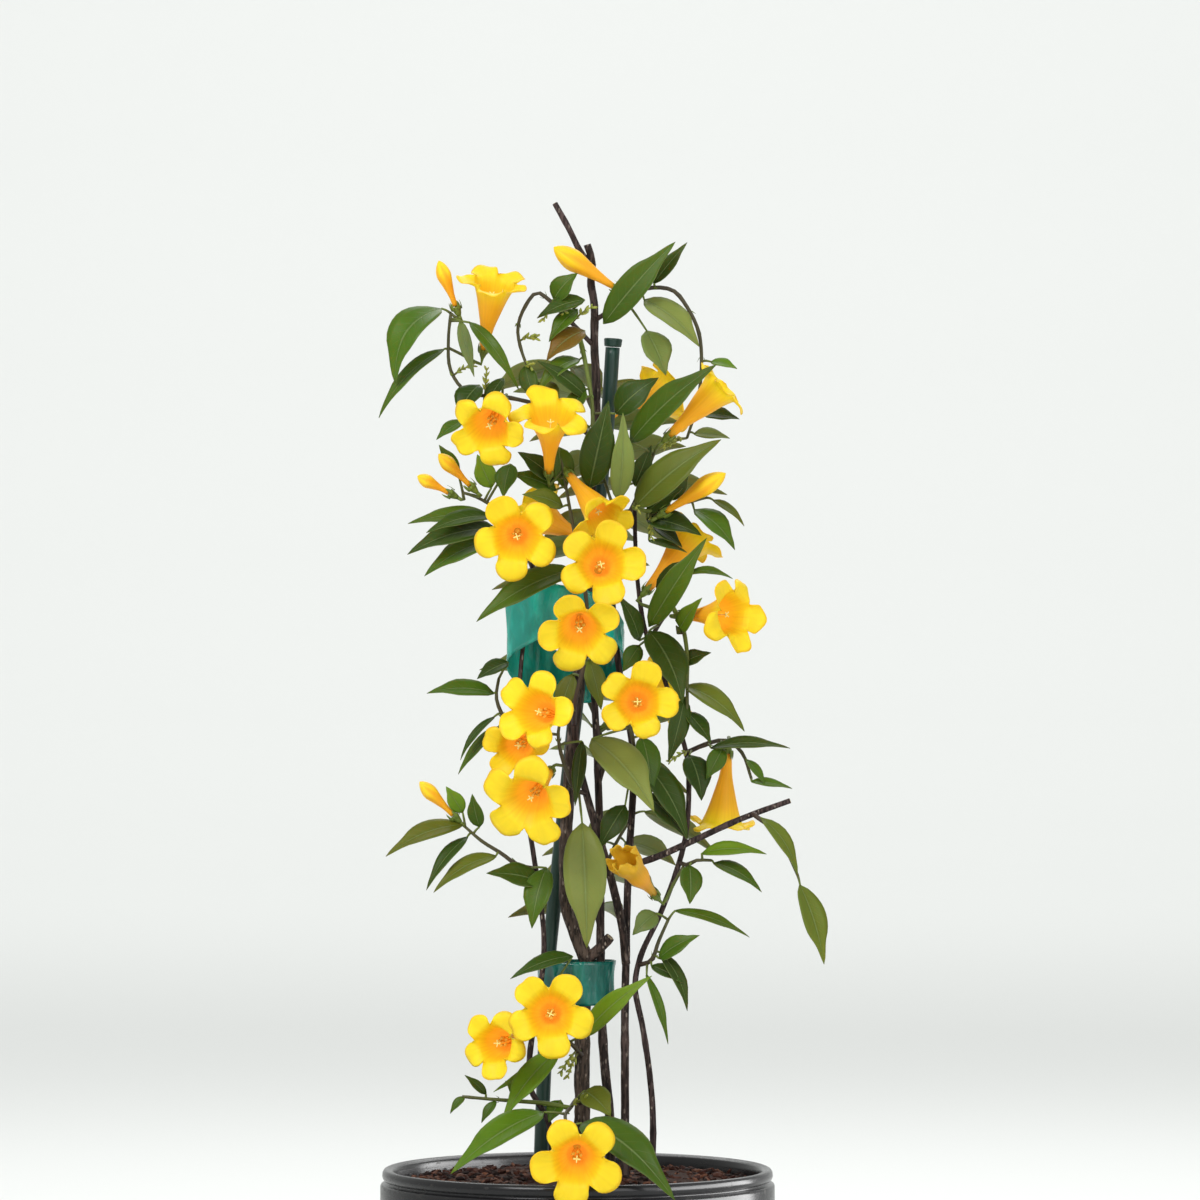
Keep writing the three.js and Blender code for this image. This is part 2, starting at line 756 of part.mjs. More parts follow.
// The side that the photo does not show: shoots wind out from the back vine with leaves in opposite pairs.
const BACK = { seats: [258, 320, 398, 448], pairs: 4, leafLength: 36, leafWidth: 12, seed: 11 };

// Park and Miller's generator, which gives the same numbers in every language.
function randomFrom(seed) {
  let state = seed;
  return () => {
    state = (state * 16807) % 2147483647;
    return state / 2147483647;
  };
}

function backShoots() {
  const random = randomFrom(BACK.seed);
  return BACK.seats.map((seat, k) => {
    const start = THREE.MathUtils.degToRad(k % 2 ? 62 : 112);
    const turn = THREE.MathUtils.degToRad(k % 2 ? 22 : -22);
    const centre = nearestOn([WOOD.back_vine.route.map(vector)], new THREE.Vector3(9, 11, seat));
    const out = (reach, angle, height) => [
      Math.round(centre.x + reach * Math.cos(angle)),
      Math.round(centre.y + reach * Math.sin(angle)),
      Math.round(height),
    ];
    const route = [1, 2, 3, 4].map((i) => out(4 + 6 * i, start + turn * i * 0.6, seat - 2 + 13 * i));
    const leaves = [];
    for (let i = 0; i < BACK.pairs; i += 1) {
      const [x, y, z] = route[i];
      [-1, 1].forEach((side) => {
        const angle = start + turn * i * 0.6 + side * (0.7 + 0.5 * random());
        const length = BACK.leafLength * (0.75 + 0.4 * random());
        const tilt = -0.5 + 0.7 * random();
        const reach = length * Math.cos(tilt);
        const direction = [Math.cos(angle), Math.sin(angle)];
        const base = [x + 5 * direction[0], y + 5 * direction[1], z + 1];
        const rise = length * Math.sin(tilt);
        const tip = [base[0] + reach * direction[0], base[1] + reach * direction[1], z + rise];
        leaves.push([base, tip, BACK.leafWidth * (0.8 + 0.4 * random()), 3]);
      });
    }
    const flowers = [];
    if (k > 0) {
      const [x, y, z] = route[1];
      const aim = start - turn * 1.6;
      const facing = [Math.cos(aim) * 0.9, Math.sin(aim) * 0.9, 0.4];
      const mouth = [x + 34 * facing[0], y + 34 * facing[1], z + 34 * facing[2]];
      flowers.push({ mouth, facing, span: 37, roll: 20 * k });
    }
    return { name: `shoot_back_${k + 1}`, on: 'back_vine', seat, route, leaves, flowers, buds: [] };
  });
}

// The routes that shoots can grow from.
const [TRUNK_BRANCH, TWIG_BRANCH] = WOOD.right_vine.branches;
const CARRIERS = { ...WOOD, right_vine_branch: TRUNK_BRANCH, right_vine_twig: TWIG_BRANCH };

// Which way a blade's upper face looks: up, out from the middle, and to the side that it grows on.
function bladeFace(base, tip) {
  const outward = new THREE.Vector3(tip.x, tip.y, 0).normalize();
  const side = base.y < 5 ? -1 : 1;
  return outward.multiplyScalar(0.35).add(new THREE.Vector3(0, side * FRONT_LEAN, 0.65)).normalize();
}

// A leaf: a stalk from the middle of its stem, then a pointed blade folded along its midrib.
function leaf(foot, base, tip, width, lift) {
  const face = bladeFace(base, tip);
  const chord = tip.clone().sub(base);
  const across = chord.clone().cross(face).normalize();
  const above = across.clone().cross(chord).normalize();
  const control = base.clone().lerp(tip, 0.5).addScaledVector(above, 2 * lift);
  const midrib = new THREE.QuadraticBezierCurve3(base, control, tip);
  const section = (middle, along, half, thick, fold) => {
    const side = along.clone().cross(face).normalize();
    const normal = side.clone().cross(along).normalize();
    const crest = middle.clone().addScaledVector(normal, fold * half);
    const edge = (sign) => crest.clone().addScaledVector(side, sign * half);
    const spine = (sign) => middle.clone().addScaledVector(normal, (sign * thick) / 2);
    return [edge(-1), spine(-1), edge(1), spine(1)];
  };
  const stalk = base.clone().sub(foot);
  const rings = [section(foot, stalk.clone().normalize(), LEAF_STALK, 2 * LEAF_STALK, 0)];
  if (stalk.length() > LONG_STALK) {
    const bend = stalk.clone().normalize().add(midrib.getTangent(0)).normalize();
    rings.push(section(base, bend, LEAF_STALK * 0.9, 1.8 * LEAF_STALK, 0));
  }
  const stations = chord.length() > LONG_LEAF ? [0.14, 0.42, 0.75] : [0.2, 0.6];
  stations.forEach((t) => {
    const round = t ** 0.75;
    const half = (width / 2) * 4 * round * (1 - round);
    rings.push(section(midrib.getPoint(t), midrib.getTangent(t), half, Math.min(BLADE, half), BLADE_FOLD));
  });
  rings.push([tip]);
  return solid(loft(rings));
}

// A flower stalk and its calyx in one, up to the flat top that the corolla sits on.
function flowerStalk(from, seat, facing) {
  const foot = seat.clone().addScaledVector(facing, -CALYX_LENGTH);
  const bend = foot.clone().addScaledVector(facing, -3);
  const across = facing.clone().cross(Math.abs(facing.z) > 0.8 ? BACKWARD : UP).normalize();
  const above = across.clone().cross(facing);
  const ring = (middle, radius) => {
    return Array.from({ length: LOBES }, (_, k) => {
      const angle = (2 * Math.PI * k) / LOBES;
      const corner = middle.clone().addScaledVector(across, radius * Math.cos(angle));
      return corner.addScaledVector(above, radius * Math.sin(angle));
    });
  };
  const stalk = stem([from, from.clone().lerp(bend, 0.5), bend], PEDICEL, PEDICEL, 4, 2);
  const calyx = solid(loft([ring(bend, PEDICEL), ring(foot, PEDICEL + 0.3), ring(seat, CALYX_RADIUS)]));
  return stalk.add(calyx);
}

// A corolla: a funnel with five notched lobes spread round its mouth, open inside.
function corolla({ mouth, facing, span, roll, tube = TUBE_LENGTH }) {
  const radius = span / 2;
  const throat = Math.min(THROAT_RADIUS, radius * 0.4);
  const turn = THREE.MathUtils.degToRad(roll);
  const corners = 2 * LOBES;
  const around = (distance, k, height) => {
    const angle = turn + (Math.PI * k) / LOBES;
    return new THREE.Vector3(distance * Math.cos(angle), distance * Math.sin(angle), height);
  };
  const ring = (distance, height) => Array.from({ length: corners }, (_, k) => around(distance, k, height));
  const waist = [2.6, tube * 0.35];
  const mouthRing = [throat, tube * 0.86];
  const brim = [radius * 0.54, tube + 1.4];
  const outer = [ring(TUBE_FOOT_RADIUS, 0), ring(...waist), ring(...mouthRing), ring(...brim)];
  const inner = [
    ring(waist[0] - PETAL, waist[1] + 0.4),
    ring(mouthRing[0] - PETAL, mouthRing[1] + 0.4),
    ring(brim[0], brim[1] + PETAL),
  ];
  const lobe = (k, thick) => [
    around(radius * 0.85, k - 0.68, tube + 2.6 + thick),
    around(radius, k, tube + 2.2 + thick),
    around(radius * 0.85, k + 0.68, tube + 2.6 + thick),
  ];
  const positions = [];
  const triangle = (a, b, c, flip) => {
    [a, ...(flip ? [c, b] : [b, c])].forEach((corner) => positions.push(...corner.toArray()));
  };
  const skin = (rings, thick, flip) => {
    for (let i = 0; i + 1 < rings.length; i += 1) {
      rings[i].forEach((corner, k) => {
        const next = (k + 1) % corners;
        triangle(corner, rings[i][next], rings[i + 1][next], flip);
        triangle(corner, rings[i + 1][next], rings[i + 1][k], flip);
      });
    }
    const floor = rings[0];
    for (let k = 1; k + 1 < floor.length; k += 1) triangle(floor[0], floor[k + 1], floor[k], flip);
    const edge = rings[rings.length - 1];
    for (let k = 1; k < corners; k += 2) {
      const [left, tip, right] = lobe(k, thick);
      triangle(edge[k - 1], edge[k], left, flip);
      triangle(edge[k], tip, left, flip);
      triangle(edge[k], right, tip, flip);
      triangle(edge[k], edge[(k + 1) % corners], right, flip);
    }
  };
  skin(outer, 0, false);
  skin(inner, PETAL, true);
  const outerBrim = outer[outer.length - 1];
  const innerBrim = inner[inner.length - 1];
  for (let k = 1; k < corners; k += 2) {
    const after = (k + 1) % corners;
    const below = [outerBrim[k - 1], ...lobe(k, 0), outerBrim[after]];
    const over = [innerBrim[k - 1], ...lobe(k, PETAL), innerBrim[after]];
    for (let i = 0; i + 1 < below.length; i += 1) {
      triangle(below[i], below[i + 1], over[i + 1], false);
      triangle(below[i], over[i + 1], over[i], false);
    }
  }
  const geometry = new THREE.BufferGeometry();
  geometry.setAttribute('position', new THREE.Float32BufferAttribute(positions, 3));
  const axis = vector(facing).normalize();
  geometry.applyQuaternion(new THREE.Quaternion().setFromUnitVectors(UP, axis));
  geometry.translate(...vector(mouth).addScaledVector(axis, -tube).toArray());
  return solid(geometry);
}

// A bud: a closed, pointed corolla.
function bud({ base, tip, width }) {
  const axis = vector(tip).sub(vector(base));
  const length = axis.length();
  const profile = [
    [0, 0],
    [BUD_FOOT_RADIUS, 0],
    [width * 0.3, length * 0.3],
    [width * 0.5, length * 0.66],
    [width * 0.3, length * 0.9],
    [0, length],
  ];
  const geometry = new THREE.LatheGeometry(profile.map(([r, h]) => new THREE.Vector2(r, h)), 6);
  geometry.applyQuaternion(new THREE.Quaternion().setFromUnitVectors(LATHE_AXIS, axis.normalize()));
  geometry.translate(...base);
  return solid(geometry);
}

// The shoot's route from the heart of the woody stem at its seat.
function shootRoute({ on, seat, route }) {
  const next = vector(route[0]);
  const start = nearestOn([CARRIERS[on].route.map(vector)], new THREE.Vector3(next.x, next.y, seat));
  return [start, ...route.map(vector)];
}

const group = new THREE.Group();
const placed = [];

function put(name, body, material) {
  const mesh = new THREE.Mesh(geometryOf(body), material);
  mesh.name = name;
  group.add(mesh);
}

function boxOf(body) {
  const { min, max } = body.boundingBox();
  return new THREE.Box3(vector([...min]), vector([...max])).expandByScalar(GAP);
}

function place(owner, body) {
  placed.push({ owner, body, box: boxOf(body) });
  return body;
}

// True where a body keeps its distance from everything that other nodes have placed.
function isClear(owner, body) {
  const box = boxOf(body);
  return placed.every((other) => {
    if (other.owner === owner || !other.box.intersectsBox(box)) return true;
    return other.body.minGap(body, GAP) > GAP * 0.9;
  });
}

// A leaf grows where the plan has it, or swings back or forth, or stays shorter, until it is clear.
function leafThatFits(owner, footFor, [base, tip, width, lift]) {
  for (const length of [1, 0.8]) {
    for (const swing of [0, -5, 5, -10, 10, -15, 15]) {
      const start = vector(base).add(new THREE.Vector3(0, swing * 0.4, 0));
      const end = vector(base).lerp(vector(tip), length).add(new THREE.Vector3(0, swing, 0));
      const body = leaf(footFor(start), start, end, width * length, lift);
      if (isClear(owner, body)) return place(owner, body);
    }
  }
  return null;
}

// Woody stems, stake, ties, pot and soil
Object.entries(WOOD).forEach(([name, { route, foot, tip, branches }]) => {
  const trunk = stem(route.map(vector), foot, tip);
  const sides = branches.map((branch) => stem(branch.route.map(vector), branch.foot, branch.tip));
  const body = place(name, joined([trunk, ...sides]));
  put(name, body, FINISH.bark());
});
const stake = stem(STAKE_ROUTE, STAKE_RADIUS, STAKE_RADIUS, STAKE_SIDES);
put('stake', place('stake', stake), FINISH.stake());
put('stake_cap', place('stake_cap', stakeCap()), FINISH.stake());

const LOWER_LOOP = [
  [-16.6, 4],
  [-15, -1],
  [-6, -8.7],
  [3, -9.6],
  [10, -6.5],
  [15.4, 1],
  [15.2, 8],
  [10, 11.6],
  [0, 11],
  [-12, 10.6],
  [-16.4, 8],
];
const UPPER_LOOP = [
  [-30, -4],
  [-23, -12],
  [-8, -17],
  [6, -15.5],
  [17, -7],
  [19.55, 3],
  [15, 14],
  [6, 19.5],
  [-9, 16],
  [-24, 7],
];
put('tie_lower', place('tie_lower', tie(LOWER_LOOP, 238, 0, () => 17)), FINISH.tape());
put('tie_upper', place('tie_upper', tie(UPPER_LOOP, 381, -0.85, (x) => 17 - 0.25 * x)), FINISH.tape());

put('pot', place('pot', pot()), FINISH.pot());
const standing = [
  ...Object.values(WOOD).map(({ route, foot, tip }) => ({ route: route.map(vector), foot, tip })),
  { route: STAKE_ROUTE, foot: STAKE_RADIUS, tip: STAKE_RADIUS, sides: STAKE_SIDES },
];
put('soil', place('soil', soil(standing)), FINISH.soil());

// Flowers and buds, then the stems that carry them, then the leaves in the room that is left
const shoots = [...SHOOTS, ...backShoots()];
let flowerCount = 0;
let budCount = 0;
shoots.forEach(({ flowers, buds }) => {
  flowers.forEach((flower) => {
    flowerCount += 1;
    const name = `flower_${String(flowerCount).padStart(2, '0')}`;
    put(name, place(name, corolla(flower)), FINISH.petal());
  });
  buds.forEach((closed) => {
    budCount += 1;
    const name = `bud_${budCount}`;
    put(name, place(name, bud(closed)), FINISH.petal());
  });
});

const grown = shoots.map((shoot) => {
  const routes = [shootRoute(shoot), ...(shoot.branches || []).map((branch) => branch.map(vector))];
  const carrier = CARRIERS[shoot.on];
  const footFor = (place) => nearestOn(routes, place, carrier.foot + 1);
  const bodies = routes.map((route) => stem(route, SHOOT_RADIUS, SHOOT_TIP, SHOOT_SIDES));
  shoot.flowers.forEach(({ mouth, facing, tube = TUBE_LENGTH }) => {
    const axis = vector(facing).normalize();
    const seat = vector(mouth).addScaledVector(axis, -tube - GAP);
    bodies.push(flowerStalk(footFor(seat), seat, axis));
  });
  shoot.buds.forEach(({ base, tip }) => {
    const axis = vector(tip).sub(vector(base)).normalize();
    const seat = vector(base).addScaledVector(axis, -GAP);
    bodies.push(flowerStalk(footFor(seat), seat, axis));
  });
  const bark = stem(carrier.route.map(vector), carrier.foot + GAP, carrier.tip + GAP);
  return { shoot, footFor, body: place(shoot.name, whole(joined(bodies).subtract(bark))) };
});

grown.forEach(({ shoot, footFor, body }) => {
  const leaves = shoot.leaves.map((blade) => leafThatFits(shoot.name, footFor, blade));
  put(shoot.name, whole(joined([body, ...leaves.filter((blade) => blade)])), FINISH.leaf());
});

export default group;
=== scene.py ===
"""A potted Carolina jessamine: fine leaves, trumpets, bark, ties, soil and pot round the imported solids.

The plan of stems and shoots is in millimetres, and the pieces are in metres, in the frame of the solids.
"""

import logging
import math
from collections.abc import Callable, Sequence
from dataclasses import dataclass
from enum import Enum

import bmesh
import bpy
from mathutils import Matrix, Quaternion, Vector, noise
from mathutils.kdtree import KDTree


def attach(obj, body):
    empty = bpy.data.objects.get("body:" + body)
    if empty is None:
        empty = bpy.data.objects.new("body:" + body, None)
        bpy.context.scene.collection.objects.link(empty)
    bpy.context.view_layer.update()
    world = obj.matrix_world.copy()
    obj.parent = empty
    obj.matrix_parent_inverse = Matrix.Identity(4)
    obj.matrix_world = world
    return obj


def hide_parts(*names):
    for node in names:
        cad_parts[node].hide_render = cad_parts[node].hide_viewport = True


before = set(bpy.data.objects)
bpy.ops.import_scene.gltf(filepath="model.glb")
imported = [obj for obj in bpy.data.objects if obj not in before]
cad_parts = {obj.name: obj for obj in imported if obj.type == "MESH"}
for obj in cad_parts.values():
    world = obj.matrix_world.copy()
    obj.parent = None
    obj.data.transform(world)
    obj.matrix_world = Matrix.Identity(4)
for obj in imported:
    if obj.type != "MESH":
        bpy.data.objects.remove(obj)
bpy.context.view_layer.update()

log = logging.getLogger("jessamine")

SEED = 2024
MM = 0.001
UP = Vector((0, 0, 1))
BACKWARD = Vector((0, 1, 0))

FULL_TURN = 2 * math.pi
WELD = 1e-7  # metres, the distance within which a seam's corners are joined

Point = tuple[float, float, float]
Colour = tuple[float, float, float]
Place = Callable[[float, float], Vector]
Paint = Callable[[float, float], Colour]

# Numbers shared with the solids. Lengths are in millimetres
GAP = 0.35
POT_HEIGHT = 160.0
POT_BASE_RADIUS = 61.0
POT_WALL = 2.2
RIM_RADIUS = 83.0
RIM_BAND = 27.0
LIP = 5.5
POT_NECK = RIM_RADIUS - 6.5
SOIL_TOP = POT_HEIGHT - 4.5
STAKE_RADIUS = 3.1
CAP_RADIUS = 3.9
CAP_HEIGHT = 3.6
TUBE_LENGTH = 28.0
THROAT_RADIUS = 7.4
LOBES = 5
BLADE_FOLD = 0.2
CALYX_LENGTH = 4.0
SHOOT_RADIUS = 1.1
SHOOT_TIP = 0.8
PEDICEL = 0.8
FACE_LEAN = 0.6
SEARCH_STEPS = 120
LEAF_SWINGS = (0, -5, 5, -10, 10, -15, 15)
LEAF_LENGTHS = (1.0, 0.8)


class Tone(Enum):
    """The colours that leaves have on this plant, as the upper face's linear colour. The brightest green is
    partly painted light: the low front leaves that carry it are painted as if lit by the key light.
    """

    DEEP = (0.026, 0.054, 0.003)
    MID = (0.050, 0.102, 0.004)
    BRIGHT = (0.084, 0.162, 0.006)
    OLIVE = (0.094, 0.120, 0.010)
    PALE = (0.142, 0.184, 0.040)
    AUTUMN = (0.150, 0.092, 0.010)


DEEP, MID, BRIGHT, OLIVE, PALE, AUTUMN = Tone
UNDERSIDE: Colour = (0.132, 0.168, 0.040)


class Form(Enum):
    """How far a corolla has opened."""

    OPEN = "open"
    WILTED = "wilted"


# Plan of the plant


@dataclass(frozen=True)
class BranchPlan:
    """A side branch of a woody stem.

    Args:
        foot: radius where it leaves the stem.
        tip: radius at its cut end.
        route: the points that it passes.
    """

    foot: float
    tip: float
    route: Sequence[Point]


@dataclass(frozen=True)
class StemPlan:
    """A woody stem from the soil to its end, with its radius at both ends and its branches."""

    name: str
    foot: float
    tip: float
    route: Sequence[Point]
    branches: Sequence[BranchPlan] = ()


@dataclass(frozen=True)
class Leaf:
    """A leaf by the start and tip of its blade, its width and the lift of its middle."""

    base: Point
    tip: Point
    width: float
    lift: float
    tone: Tone | None = None


@dataclass(frozen=True)
class Bloom:
    """An open flower by the middle of its mouth, where it faces, its span and how it is turned."""

    mouth: Point
    facing: Point
    span: float
    roll: float
    tube: float = TUBE_LENGTH
    form: Form = Form.OPEN

    @property
    def axis(self) -> Vector:
        """The direction that the flower faces."""
        return Vector(self.facing).normalized()


@dataclass(frozen=True)
class Closed:
    """A bud by its foot, its tip and its greatest width."""

    base: Point
    tip: Point
    width: float

    @property
    def axis(self) -> Vector:
        """The direction from foot to tip."""
        return (Vector(self.tip) - Vector(self.base)).normalized()


@dataclass(frozen=True)
class ShootPlan:
    """A leafy shoot: the woody stem that carries it, the height of its seat, and what grows on it."""

    name: str
    carrier: str
    seat: float
    routes: Sequence[Sequence[Point]]
    leaves: Sequence[Leaf]
    flowers: Sequence[Bloom] = ()
    buds: Sequence[Closed] = ()


WOOD = (
    StemPlan(
        "main_stem", 3.7, 1.6,
        (
            (2, -3, 118), (2, -3, 160), (2, -3, 200), (2.5, -4, 230), (4, -4, 246), (0, -4, 257),
            (-4, -4, 268), (-5, -4, 292), (-3, -4, 330), (1, -4, 370), (4, -4, 410), (6, -3, 450),
            (8, -1, 485), (7, 0, 506), (7, 0, 523), (5.6, 0, 532), (6.2, 0, 541), (4, 0, 548.5),
        ),
        (
            BranchPlan(1.5, 1.2, (
                (6, 0, 539), (1, 0, 546), (-4, 1, 556), (-9.5, 2, 566),
            )),
            BranchPlan(2.5, 2.1, (
                (4, -4, 248), (9, -6, 252.5), (13.7, -8, 257.5),
            )),
        ),
    ),
    StemPlan(
        "right_vine", 2, 1.3,
        (
            (20, -2, 118), (20, -2, 170), (20, -2, 230), (20.4, -1, 248), (20.8, 0, 268),
            (21.6, 1, 290), (22.9, 2, 310), (23.7, 2, 330), (22, 2, 345), (18.7, 2, 362),
            (15.8, 1, 384), (14.5, 0, 410), (17, 0, 432),
        ),
        (
            BranchPlan(1.9, 1.4, (
                (20.4, -1.2, 246), (18.7, -4, 262), (12.8, -9, 287), (6, -12, 310),
                (0.6, -13, 331), (-1.5, -13, 349), (1, -12, 370), (4, -10, 392),
            )),
            BranchPlan(1.5, 1.2, (
                (21.6, 1, 287), (34, -9, 291.5), (48, -13, 298), (70, -14, 308), (89, -15, 315),
            )),
        ),
    ),
    StemPlan(
        "outer_vine", 1.5, 0.9,
        (
            (31, -6, 118), (31.5, -6, 162), (31.7, -6, 181), (30.5, -5, 198), (27.5, -5, 219),
            (24.2, -6, 237), (26.4, -6, 249), (34.7, -5, 267), (42.2, -4, 287), (45.6, -4, 301),
            (46.8, -3, 320), (46, -2, 333), (42.6, -1, 346), (36.4, 1, 366), (28.8, 2, 385),
            (25, 3, 410), (24, 4, 438),
        ),
    ),
    StemPlan(
        "back_vine", 2.3, 1.2,
        (
            (14, 7, 118), (14, 7, 155), (13.6, 7, 180), (11, 7, 208), (9.8, 7.5, 240),
            (9.5, 10, 294), (8, 13, 340), (6, 15, 385), (8, 14, 430), (9, 13, 470),
        ),
    ),
    StemPlan(
        "left_vine", 1.4, 0.9,
        (
            (-11, -5, 118), (-11, -5, 158), (-12, -5.5, 179), (-20, -8, 195), (-20, -8.5, 208),
            (-17, -9, 228), (-14, -9, 254), (-18.7, -9, 294), (-23, -9, 318), (-25, -8, 342),
            (-24, -6, 368), (-21, -4, 395), (-17, -3, 425),
        ),
    ),
)

